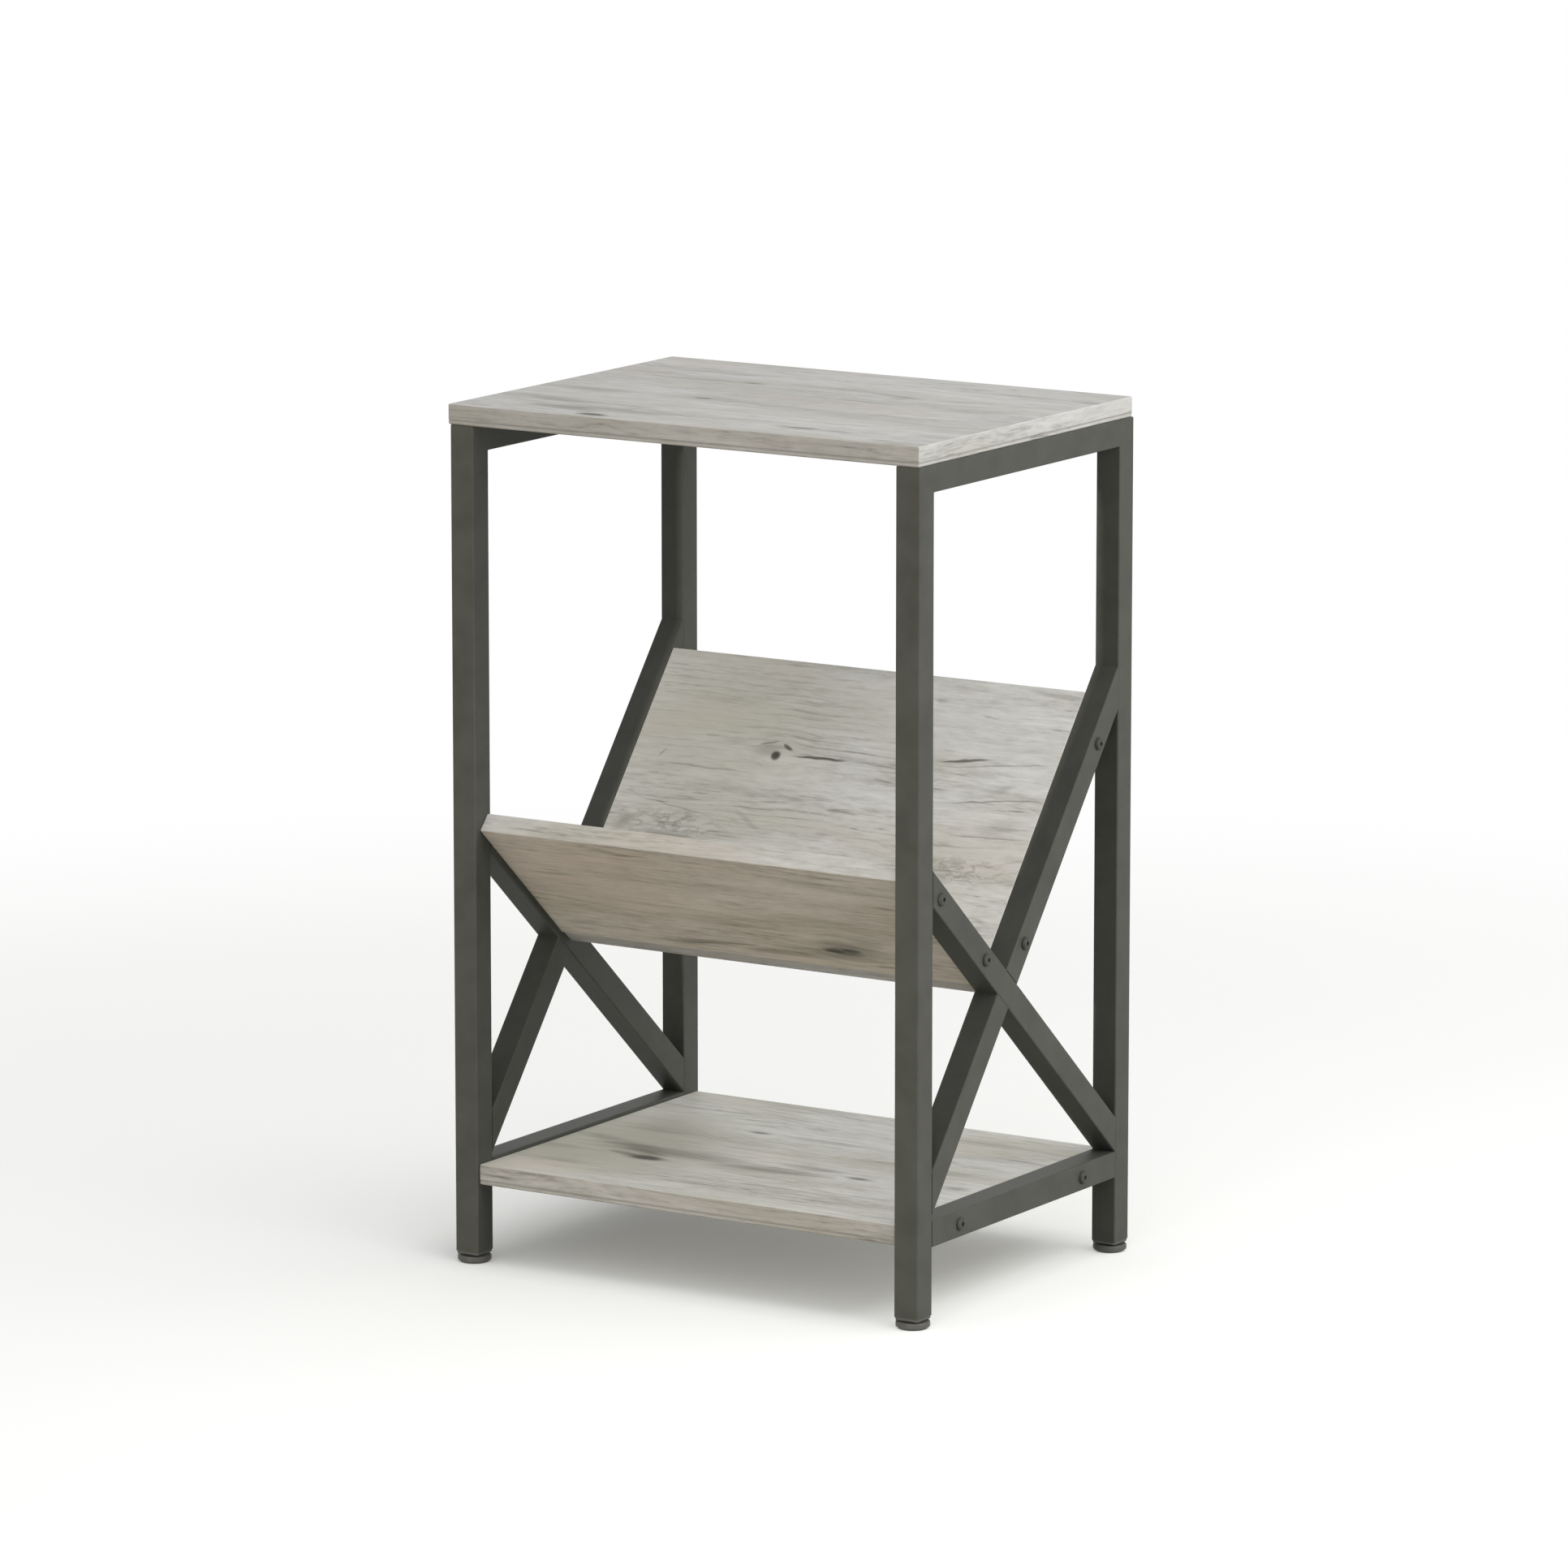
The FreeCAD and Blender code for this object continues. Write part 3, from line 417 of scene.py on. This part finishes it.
class Paint:
    """Nodes of one material, made with short calls."""

    def __init__(self, name):
        self.material = bpy.data.materials.new(name)
        self.material.use_nodes = True
        self.nodes = self.material.node_tree.nodes
        self.links = self.material.node_tree.links
        self.shader = self.nodes["Principled BSDF"]

    def feed(self, socket, value):
        """Links an output to an input, or sets a constant on the input."""
        if isinstance(value, bpy.types.NodeSocket):
            self.links.new(value, socket)
        else:
            socket.default_value = value

    def node(self, kind, **settings):
        """New node with its settings."""
        made = self.nodes.new("ShaderNode" + kind)
        for name, value in settings.items():
            setattr(made, name, value)
        return made

    def math(self, operation, *values):
        """Result of a sum on numbers."""
        made = self.node("Math", operation=operation)
        for socket, value in zip(made.inputs, values):
            self.feed(socket, value)
        return made.outputs[0]

    def weighted(self, fields, weights, level=0.0):
        """Level plus the fields that have a weight, each times its weight."""
        result = level
        for name, weight in weights.items():
            result = self.math("MULTIPLY_ADD", fields[name], weight, result)
        return result

    def vector(self, *values):
        """Vector from three numbers."""
        made = self.node("CombineXYZ")
        for socket, value in zip(made.inputs, values):
            self.feed(socket, value)
        return made.outputs[0]

    def noise(self, vector, factors, detail, roughness):
        """Soft noise from 0 to 1, in a space stretched by a factor on each axis."""
        stretched = self.node("VectorMath", operation="MULTIPLY")
        self.feed(stretched.inputs[0], vector)
        self.feed(stretched.inputs[1], factors)
        made = self.node("TexNoise")
        self.feed(made.inputs["Vector"], stretched.outputs[0])
        self.feed(made.inputs["Scale"], 1.0)
        self.feed(made.inputs["Detail"], detail)
        self.feed(made.inputs["Roughness"], roughness)
        return made.outputs[0]

    def noises(self, vector, table):
        """Noise for each row of a table, by its name."""
        return {name: self.noise(vector, *row) for name, row in table.items()}

    def placed(self, vector, spot, reach, turn):
        """Coordinates seen from a spot, turned, and measured in its reach."""
        made = self.node("Mapping", vector_type="TEXTURE")
        self.feed(made.inputs["Vector"], vector)
        self.feed(made.inputs["Location"], (*spot, 0.0))
        self.feed(made.inputs["Rotation"], (0.0, 0.0, turn))
        self.feed(made.inputs["Scale"], (*reach, 1.0))
        return made.outputs[0]

    def length(self, vector):
        """Length of a vector."""
        made = self.node("VectorMath", operation="LENGTH")
        self.feed(made.inputs[0], vector)
        return made.outputs["Value"]

    def fade(self, value, start, end, low=0.0, high=1.0):
        """Smooth step of a number from one level to another."""
        made = self.node("MapRange", interpolation_type="SMOOTHSTEP")
        for socket, number in zip(made.inputs, (value, start, end, low, high)):
            self.feed(socket, number)
        return made.outputs[0]

    def ramp(self, value, stops):
        """Colour picked by a number from stops of place and colour."""
        made = self.node("ValToRGB")
        elements = made.color_ramp.elements
        while len(elements) < len(stops):
            elements.new(stops[-1][0])
        for element, (place, colour) in zip(elements, stops):
            element.position = place
            element.color = (*colour, 1.0)
        self.feed(made.inputs[0], value)
        return made.outputs[0]

    def mix(self, share, first, second, blend="MIX"):
        """Colour between two colours."""
        made = self.node("Mix", data_type="RGBA", blend_type=blend)
        self.feed(made.inputs["Factor"], share)
        for name, colour in (("A", first), ("B", second)):
            socket = [item for item in made.inputs if item.name == name and item.type == "RGBA"][0]
            self.feed(socket, (*colour, 1.0) if isinstance(colour, tuple) else colour)
        return [item for item in made.outputs if item.type == "RGBA"][0]

    def bump(self, height, distance, strength):
        """Surface normal bent by a height."""
        made = self.node("Bump")
        self.feed(made.inputs["Height"], height)
        self.feed(made.inputs["Distance"], distance)
        self.feed(made.inputs["Strength"], strength)
        return made.outputs[0]

    def finish(self, **sockets):
        """Feeds the shader: words of a socket's name are joined with underscores."""
        for name, value in sockets.items():
            self.feed(self.shader.inputs[name.replace("_", " ")], value)
        return self.material


def loft(name, rings):
    """Closed mesh through rings of equal counts of points, with a flat face at each end."""
    shape = bmesh.new()
    loops = [[shape.verts.new(point) for point in ring] for ring in rings]
    for lower, upper in zip(loops, loops[1:]):
        for index in range(len(lower)):
            following = (index + 1) % len(lower)
            shape.faces.new((lower[index], lower[following], upper[following], upper[index]))
    shape.faces.new(list(reversed(loops[0])))
    shape.faces.new(loops[-1])
    bmesh.ops.recalc_face_normals(shape, faces=shape.faces)
    mesh = bpy.data.meshes.new(name)
    shape.to_mesh(mesh)
    shape.free()
    made = bpy.data.objects.new(name, mesh)
    bpy.context.scene.collection.objects.link(made)
    return made


class Board:
    """Directions and reaches of a board, read from its solid."""

    def __init__(self, node, facing):
        mesh = frame["nodes"][node].data
        broad = max(mesh.polygons, key=lambda face: face.area).normal.copy()
        self.out = broad if broad.dot(Vector(facing)) > 0 else -broad
        self.along = Vector((1, 0, 0))
        self.across = self.out.cross(self.along)
        corners = [vertex.co for vertex in mesh.vertices]
        self.low_out, self.high_out = self.reach(corners, self.out)
        self.low_along, self.high_along = self.reach(corners, self.along)
        nearness = (self.high_out - self.low_out) * NEAR_FACE
        self.ends = []
        for level in (self.low_out, self.high_out):
            near = [point for point in corners if abs(point.dot(self.out) - level) < nearness]
            self.ends.append(self.reach(near, self.across))
        self.middle_along = (self.low_along + self.high_along) / 2
        self.middle_across = (min(end[0] for end in self.ends) + max(end[1] for end in self.ends)) / 2

    @staticmethod
    def reach(points, direction):
        """Least and greatest place of the points along a direction."""
        places = [point.dot(direction) for point in points]
        return min(places), max(places)

    def ring(self, out, inset):
        """Rounded rectangle at one level of the thickness, drawn in from the board's edges."""
        share = (out - self.low_out) / (self.high_out - self.low_out)
        low, high = [under + (over - under) * share for under, over in zip(*self.ends)]
        drawn = inset + BOARD_EASE
        centres = (
            (self.high_along - drawn, high - drawn),
            (self.low_along + drawn, high - drawn),
            (self.low_along + drawn, low + drawn),
            (self.high_along - drawn, low + drawn),
        )
        points = []
        for quarter, (along, across) in enumerate(centres):
            for step in range(CORNER_STEPS + 1):
                turn = (quarter + step / CORNER_STEPS) * math.pi / 2
                points.append(
                    self.along * (along + BOARD_EASE * math.cos(turn))
                    + self.across * (across + BOARD_EASE * math.sin(turn))
                    + self.out * out
                )
        return points

    def eased(self, level, inward):
        """Rings of an eased edge at one face of the board."""
        rings = []
        for step in range(CORNER_STEPS + 1):
            turn = step / CORNER_STEPS * math.pi / 2
            out = level + inward * BOARD_EASE * (1 - math.cos(turn))
            rings.append(self.ring(out, BOARD_EASE * (1 - math.sin(turn))))
        return rings

    def rings(self, banded):
        """Rings from the underside to the broad face, with the seam of the edge band where there is one."""
        if banded:
            seam = self.low_out + SEAM_HEIGHT
            lower = [
                self.ring(self.low_out, BOARD_BEVEL),
                self.ring(self.low_out + BOARD_BEVEL, BAND_INSET),
                self.ring(seam - SEAM_DEPTH, BAND_INSET),
                self.ring(seam, SEAM_DEPTH),
                self.ring(seam + SEAM_DEPTH, 0),
            ]
        else:
            lower = self.eased(self.low_out, 1)
        return lower + list(reversed(self.eased(self.high_out, -1)))

    def lay_grain(self, mesh):
        """Writes where each corner of each face lies in the wood, and how high it is on an edge."""
        mesh.attributes.new("grain", "FLOAT_VECTOR", "CORNER")
        mesh.attributes.new("edge", "FLOAT", "CORNER")
        grain = mesh.attributes["grain"]
        edge = mesh.attributes["edge"]
        for face in mesh.polygons:
            upright = face.normal.dot(self.out)
            outward = abs(face.normal.dot(self.across))
            for corner in face.loop_indices:
                point = mesh.vertices[mesh.loops[corner].vertex_index].co
                along = point.dot(self.along) - self.middle_along
                across = point.dot(self.across) - self.middle_across
                height = point.dot(self.out) - self.low_out
                if abs(upright) > FACE_TURN:
                    place = (along, across, BROAD_FACE if upright > 0 else BACK_FACE)
                    height = OFF_EDGE
                elif outward > abs(face.normal.dot(self.along)):
                    place = (along, height, LONG_EDGE)
                else:
                    place = (across, height, SHORT_EDGE)
                grain.data[corner].vector = place
                edge.data[corner].value = height


def reached(paint, side, number):
    """1 where a side's number is at least this one, and 0 before it."""
    return paint.fade(side, *[number - step for step in SIDE_STEP])


def faded(paint, field, name):
    """Noise of the grain after its fade."""
    return paint.fade(field[name], *GRAIN_FADES[name])


def grain_fields(paint, place, along, across, layer, marks):
    """Noises and lines of the grain, which flows round the knots."""
    flow = paint.math("MULTIPLY_ADD", paint.noise(place, *DRIFT_NOISE), GRAIN_DRIFT, across)
    for knot in marks["knots"]:
        flow = bend_round(paint, along, across, flow, *[size * MM for size in knot])
    rise = flow
    for swirl in marks["swirls"]:
        rise = lift(paint, along, across, rise, *[size * MM for size in swirl])
    field = paint.noises(paint.vector(along, flow, layer), GRAIN_NOISES)

    # Growth rings: thin soft lines, shown in some places and not in others.
    count = paint.math("MULTIPLY_ADD", rise, RINGS_PER_METRE, field["wander"])
    line = paint.fade(paint.math("PINGPONG", count, RING_HALF), *RING_LINE)
    field["rings"] = paint.math("MULTIPLY", line, faded(paint, field, "shown"))

    # Worn patches, where the mottle is stronger.
    contrast = paint.math("SUBTRACT", field["mottle"], NOISE_MIDDLE)
    field["patchy"] = paint.math("MULTIPLY", contrast, faded(paint, field, "wear"))

    # Short dark ticks in loose groups.
    field["ticks"] = paint.math("MULTIPLY", faded(paint, field, "dash"), faded(paint, field, "group"))

    # Hairlines: long, thin and faint.
    field["hairs"] = paint.math("MULTIPLY", faded(paint, field, "hair"), faded(paint, field, "soft"))
    return field


def wood_material(name, marks, banded):
    """Weathered grey oak: soft patches and streaks along the grain, marks, and the seam of an edge band. The
    seam is darkened with painted shade, and the tints and one dark patch on the shelf are partly painted
    light and shade.
    """
    paint = Paint(name)
    grain = paint.node("Attribute", attribute_name="grain").outputs["Vector"]
    split = paint.node("SeparateXYZ")
    paint.feed(split.inputs[0], grain)
    along, across, side = split.outputs
    layer = paint.math("MULTIPLY_ADD", side, SIDE_LAYERS, marks["seed"])
    place = paint.vector(along, across, layer)
    on_face = paint.math("SUBTRACT", 1.0, reached(paint, side, BACK_FACE))
    on_edge = reached(paint, side, SHORT_EDGE)
    on_long_edge = reached(paint, side, LONG_EDGE)
    field = grain_fields(paint, place, along, across, layer, marks)

    colour = paint.ramp(paint.weighted(field, TONE_WEIGHTS, TONE_LEVEL), WOOD_RAMP)
    colour = paint.mix(faded(paint, field, "olive"), colour, OLIVE_CAST)
    colour = paint.mix(faded(paint, field, "blush"), colour, BLUSH_CAST)
    ragged = paint.math("SUBTRACT", field["olive"], NOISE_MIDDLE)
    # Wide colour patches: stains, and on the shelf a dark patch that is partly painted shade.
    for *oval, strength, patch_colour in marks["colour_patches"]:
        share = mark_masks(paint, grain, ((*oval, 0, strength),), PATCH_SOLID, ragged)
        colour = paint.mix(paint.math("MULTIPLY", share, on_face), colour, patch_colour)
    # Tints of faces and edges: partly the wood's own tone, partly painted light, with painted warm front
    # light on the front panel and the long edges.
    colour = paint.mix(paint.math("SUBTRACT", 1.0, on_edge), colour, marks["tint"], "MULTIPLY")
    colour = paint.mix(on_edge, colour, SHORT_EDGE_TINT, "MULTIPLY")
    colour = paint.mix(on_long_edge, colour, marks["edge_tint"], "MULTIPLY")

    shake = paint.math("SUBTRACT", paint.noise(place, *WOBBLE_NOISE), NOISE_MIDDLE)
    spot = paint.vector(along, paint.math("MULTIPLY_ADD", shake, MARK_WOBBLE, across), 0.0)
    breaks = paint.math("MULTIPLY_ADD", field["streak"], *SMEAR_BREAKS)
    shade = mark_masks(paint, spot, marks["smears"], SMEAR_SOLID, breaks)
    for scribble in marks["scribbles"]:
        curls = scribble_mask(paint, place, along, across, *[size * MM for size in scribble])
        shade = paint.math("MAXIMUM", shade, curls)
    dark = mark_masks(paint, spot, marks["cracks"], CRACK_SOLID, 0.0)
    field["dark"] = paint.math("MULTIPLY", dark, on_face)
    colour = paint.mix(paint.math("MULTIPLY", shade, on_face), colour, SMEAR_COLOUR)
    colour = paint.mix(field["dark"], colour, CRACK_COLOUR)
    # The edge band's seam is darkened with painted shade, as if its groove lay in shadow.
    if banded:
        edge = paint.node("Attribute", attribute_name="edge").outputs["Fac"]
        away = paint.math("ABSOLUTE", paint.math("SUBTRACT", edge, SEAM_HEIGHT))
        seam = paint.math("MULTIPLY", paint.fade(away, *SEAM_SHADE), on_edge)
        colour = paint.mix(seam, colour, SEAM_PAINTED_SHADE)
    return paint.finish(
        Base_Color=colour,
        Roughness=paint.math("MULTIPLY_ADD", field["streak"], *WOOD_ROUGHNESS),
        Specular_IOR_Level=WOOD_GLOSS,
        Normal=paint.bump(paint.weighted(field, RELIEF_WEIGHTS), *WOOD_RELIEF),
    )


def measured(paint, value, middle, reach):
    """Distance of a number from a middle, in reaches."""
    return paint.math("DIVIDE", paint.math("SUBTRACT", value, middle), reach)


def bell(paint, squared):
    """Bell curve of a squared distance."""
    return paint.math("EXPONENT", paint.math("MULTIPLY", squared, -1.0))


def bend_round(paint, along, across, flow, knot_along, knot_across, radius):
    """Grain coordinate with its lines pushed apart round a knot."""
    reach_across = radius * KNOT_REACH_ACROSS
    near = measured(paint, along, knot_along, radius * KNOT_REACH_ALONG)
    off = measured(paint, across, knot_across, reach_across)
    spread = paint.math("DIVIDE", off, paint.math("MULTIPLY_ADD", off, off, 1.0))
    push = paint.math("MULTIPLY", bell(paint, paint.math("MULTIPLY", near, near)), spread)
    return paint.math("MULTIPLY_ADD", push, -KNOT_PUSH * reach_across, flow)


def lift(paint, along, across, rise, hill_along, hill_across, reach_along, reach_across, height):
    """Ring coordinate lifted by a hill, so that the rings run round it in arches."""
    near = measured(paint, along, hill_along, reach_along)
    off = measured(paint, across, hill_across, reach_across)
    squared = paint.math("MULTIPLY_ADD", near, near, paint.math("MULTIPLY", off, off))
    return paint.math("MULTIPLY_ADD", bell(paint, squared), height, rise)


def mark_masks(paint, spot, marks, solid, breaks):
    """Darkness of all the marks of one kind: each is a long oval that fades towards its rim."""
    result = 0.0
    for along, across, half_length, half_width, turn, darkness in marks:
        middle = (along * MM, across * MM)
        reach = (half_length * MM, half_width * MM)
        seen = paint.placed(spot, middle, reach, math.radians(turn))
        distance = paint.math("ADD", paint.length(seen), breaks)
        result = paint.math("MAXIMUM", paint.fade(distance, solid, MARK_RIM, darkness, 0.0), result)
    return result


def scribble_mask(paint, place, along, across, middle_along, middle_across, reach_along, reach_across):
    """Curled thin lines inside an oval."""
    curl = paint.math("SUBTRACT", paint.noise(place, *CURL_NOISE), NOISE_MIDDLE)
    line = paint.fade(paint.math("ABSOLUTE", curl), *CURL_LINE)
    flat = paint.vector(along, across, 0.0)
    seen = paint.placed(flat, (middle_along, middle_across), (reach_along, reach_across), 0.0)
    return paint.math("MULTIPLY", line, paint.fade(paint.length(seen), *CURL_PLACE))


def finish_material(finish):
    """Coat, plastic or metal from its row in the table of finishes."""
    paint = Paint(finish["name"])
    place = paint.node("TexCoord").outputs["Object"]
    field = paint.noises(place, finish["noises"])
    rough, gain, level = finish["roughness"]
    if finish["relief"]:
        weights, height, strength = finish["relief"]
        paint.finish(Normal=paint.bump(paint.weighted(field, weights), height, strength))
    return paint.finish(
        Base_Color=paint.ramp(paint.weighted(field, finish["tone"]), finish["ramp"]),
        Roughness=paint.math("MULTIPLY_ADD", field[rough], gain, level),
        **finish["shader"],
    )


def build_boards():
    """Boards with eased edges that stand for the plain solids."""
    boards = []
    for node, marks in MARKS.items():
        board = Board(node, marks["facing"])
        banded = node in BANDED_BOARDS
        made = loft(node + "_board", board.rings(banded))
        board.lay_grain(made.data)
        made.data.materials.append(wood_material(node + "_oak", marks, banded))
        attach(made, "frame")
        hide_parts(node)
        boards.append(made)
    return boards


def round_ring(centre, height, radius_at):
    """Ring of the stud at one height, from its radius in each direction."""
    points = []
    for side in range(STUD_SIDES):
        turn = side / STUD_SIDES * math.tau
        radius = radius_at(turn)
        points.append(centre + Vector((radius * math.cos(turn), radius * math.sin(turn), height)))
    return points


def clamped(value):
    """Number kept between 0 and 1."""
    return min(max(value, 0.0), 1.0)


def plain(radius):
    """The same radius in every direction."""
    return lambda turn: radius


def collar(most):
    """Radius of the hex collar by direction, with its corners turned off at a greatest radius."""
    sixth = math.tau / 6
    return lambda turn: min(COLLAR_FLATS / 2 / math.cos((turn % sixth) - sixth / 2), most)


def thread(height, start, end):
    """Radius of the thread by direction at one height. It runs out at both ends of the shank."""
    lead = clamped(min(height - start, end - height) / STUD_LEAD)

    def radius_at(turn):
        phase = (height / THREAD_PITCH + turn / math.tau) % 1
        crest = clamped(THREAD_CREST - THREAD_SLOPE * abs(phase - THREAD_MIDDLE))
        return STUD_RADIUS - THREAD_DEPTH * (1 - crest * lead)

    return radius_at


def build_studs(material):
    """Levelling studs with a pivot tip, a hex collar and a real thread."""
    flat_radius = COLLAR_FLATS / 2
    corner_radius = COLLAR_FLATS / math.sqrt(3) - COLLAR_ROUND / 2
    for corner in CORNERS:
        node = corner + "_foot_stud"
        low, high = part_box(node)
        centre = Vector(((low.x + high.x) / 2, (low.y + high.y) / 2, 0))
        seat = low.z + TIP_LENGTH
        shoulder = seat + COLLAR_HEIGHT
        rings = [
            round_ring(centre, low.z, plain(TIP_RADIUS - COLLAR_ROUND)),
            round_ring(centre, low.z + COLLAR_ROUND, plain(TIP_RADIUS)),
            round_ring(centre, seat, plain(TIP_RADIUS)),
            round_ring(centre, seat, collar(flat_radius)),
            round_ring(centre, seat + COLLAR_ROUND, collar(corner_radius)),
            round_ring(centre, shoulder - COLLAR_ROUND, collar(corner_radius)),
            round_ring(centre, shoulder, collar(flat_radius)),
        ]
        count = round((high.z - shoulder) / THREAD_PITCH * THREAD_STEPS)
        for step in range(count + 1):
            height = shoulder + (high.z - shoulder) * step / count
            rings.append(round_ring(centre, height, thread(height, shoulder, high.z)))
        made = loft(corner + "_levelling_stud", rings)
        made.data.materials.append(material)
        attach(made, corner + "_stud")
        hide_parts(node)


def dress_nodes():
    """Gives every carried-over solid the material of its slot."""
    materials = {slot: finish_material(finish) for slot, finish in FINISHES.items()}
    for part in frame["record"]["subparts"]:
        if part["material_slot"] in materials:
            for slot in frame["nodes"][part["node"]].material_slots:
                slot.material = materials[part["material_slot"]]
    return materials


def direction(azimuth, elevation):
    """Unit vector from the table, turned to the right of its front and up from the floor."""
    return Vector((
        math.sin(azimuth) * math.cos(elevation),
        -math.cos(azimuth) * math.cos(elevation),
        math.sin(elevation),
    ))


def seen_rays(nodes, links):
    """Share of rays that come from the camera, a reflection or a view through glass."""
    path = nodes.new("ShaderNodeLightPath")
    result = path.outputs["Is Camera Ray"]
    for name in ("Is Glossy Ray", "Is Transmission Ray"):
        most = nodes.new("ShaderNodeMath")
        most.operation = "MAXIMUM"
        links.new(result, most.inputs[0])
        links.new(path.outputs[name], most.inputs[1])
        result = most.outputs[0]
    return result


def mixed(nodes, links, share, first, second):
    """Shader between two shaders."""
    made = nodes.new("ShaderNodeMixShader")
    for socket, output in zip(made.inputs, (share, first, second)):
        links.new(output, socket)
    return made.outputs[0]


def coloured(nodes, kind, colour):
    """Shader of one colour."""
    made = nodes.new(kind)
    made.inputs["Color"].default_value = colour
    return made


def smooth_step(nodes, links, value, levels):
    """Smooth step of a number: where it starts and ends, and then its levels there."""
    made = nodes.new("ShaderNodeMapRange")
    made.interpolation_type = "SMOOTHSTEP"
    links.new(value, made.inputs["Value"])
    for socket, level in zip(made.inputs[1:], levels):
        socket.default_value = level
    return made.outputs[0]


def build_world():
    """Soft light from all round the studio, brightest on the right, with white to look at."""
    world = bpy.data.worlds.new("studio")
    bpy.context.scene.world = world
    world.use_nodes = True
    nodes = world.node_tree.nodes
    links = world.node_tree.links
    background = nodes["Background"]
    background.inputs["Color"].default_value = WORLD_COLOUR
    toward = nodes.new("ShaderNodeVectorMath")
    toward.operation = "DOT_PRODUCT"
    links.new(nodes.new("ShaderNodeTexCoord").outputs["Generated"], toward.inputs[0])
    toward.inputs[1].default_value = direction(GLOW_AZIMUTH, GLOW_ELEVATION)
    glow = smooth_step(nodes, links, toward.outputs["Value"], GLOW_SPREAD + GLOW_LEVELS)
    links.new(glow, background.inputs["Strength"])
    white = coloured(nodes, "ShaderNodeBackground", WHITE)
    shown = mixed(nodes, links, seen_rays(nodes, links), background.outputs[0], white.outputs[0])
    links.new(shown, nodes["World Output"].inputs["Surface"])


def floor_material():
    """Pale paper that shows the shadow near the table and is white far from it."""
    material = bpy.data.materials.new("floor_paper")
    material.use_nodes = True
    nodes = material.node_tree.nodes
    links = material.node_tree.links
    nodes.clear()
    paper = coloured(nodes, "ShaderNodeBsdfDiffuse", FLOOR_SEEN)
    bounce = coloured(nodes, "ShaderNodeBsdfDiffuse", FLOOR_BOUNCE)
    white = coloured(nodes, "ShaderNodeEmission", WHITE)
    distance = nodes.new("ShaderNodeVectorMath")
    distance.operation = "LENGTH"
    links.new(nodes.new("ShaderNodeTexCoord").outputs["Object"], distance.inputs[0])
    far = smooth_step(nodes, links, distance.outputs["Value"], SHADOW_REACH)
    seen = mixed(nodes, links, far, paper.outputs[0], white.outputs[0])
    choice = mixed(nodes, links, seen_rays(nodes, links), bounce.outputs[0], seen)
    output = nodes.new("ShaderNodeOutputMaterial")
    links.new(choice, output.inputs["Surface"])
    return material


def build_floor():
    """Round floor, kept below every foot pad, so that a foot that is screwed out still stands on it."""
    shape = bmesh.new()
    bmesh.ops.create_circle(shape, cap_ends=True, segments=FLOOR_SIDES, radius=FLOOR_RADIUS)
    mesh = bpy.data.meshes.new("floor")
    shape.to_mesh(mesh)
    shape.free()
    mesh.materials.append(floor_material())
    floor = bpy.data.objects.new("floor", mesh)
    bpy.context.scene.collection.objects.link(floor)
    for corner in CORNERS:
        below = floor.constraints.new("FLOOR")
        below.target = bpy.data.objects[corner + "_foot_pad"]
        below.floor_location = "FLOOR_NEGATIVE_Z"
    return floor


def linked(name, objects, state):
    """Collection that tells a lamp which objects it lights or is shaded by, or which it leaves out."""
    made = bpy.data.collections.new(name)
    for index, item in enumerate(objects):
        made.objects.link(item)
        made.collection_objects[index].light_linking.link_state = state
    return made


def build_lamps(boards, floor):
    """Soft lamps for the boards, for the metal, for the back of both and for the floor."""
    lit_floor = linked("lit_floor", [floor], "INCLUDE")
    lit_metal = linked("all_but_boards", boards + [floor], "EXCLUDE")
    shelf = [board for board in boards if "shelf" in board.name]
    shaded = {"floor_lamp": linked("shelf_alone", shelf, "INCLUDE")}
    lit = {
        "board_lamp": linked("lit_boards", boards, "INCLUDE"),
        "metal_lamp": lit_metal,
        "metal_fill": lit_metal,
        "back_fill": linked("all_but_floor", [floor], "EXCLUDE"),
        "floor_lamp": lit_floor,
        "floor_fill": lit_floor,
    }
    for name, (azimuth, elevation, distance, size, level, shadows, colour) in LAMPS.items():
        lamp = bpy.data.lights.new(name, "AREA")
        lamp.shape = "SQUARE"
        lamp.size = size
        lamp.energy = level * (math.pi * distance) ** 2
        lamp.color = colour
        lamp.use_shadow = shadows
        made = bpy.data.objects.new(name, lamp)
        bpy.context.scene.collection.objects.link(made)
        away = direction(math.radians(azimuth), math.radians(elevation))
        made.location = CAMERA_TARGET + away * distance
        made.rotation_euler = away.to_track_quat("Z", "Y").to_euler()
        made.visible_camera = False
        made.visible_glossy = name != UNMIRRORED_LAMP
        made.light_linking.receiver_collection = lit[name]
        made.light_linking.blocker_collection = shaded.get(name)


def build_camera():
    """Camera at the photograph's place."""
    lens = bpy.data.cameras.new("camera")
    lens.sensor_width = SENSOR_WIDTH
    lens.lens = SENSOR_WIDTH * CAMERA_FOCAL / PHOTO_SIDE
    back = direction(CAMERA_AZIMUTH, CAMERA_ELEVATION)
    camera = bpy.data.objects.new("camera", lens)
    bpy.context.scene.collection.objects.link(camera)
    camera.location = CAMERA_TARGET + back * CAMERA_DISTANCE
    camera.rotation_euler = back.to_track_quat("Z", "Y").to_euler()
    bpy.context.scene.camera = camera


materials = dress_nodes()
boards = build_boards()
build_studs(materials["stud"])
build_world()
build_lamps(boards, build_floor())
build_camera()
bpy.context.scene.view_settings.view_transform = "Standard"
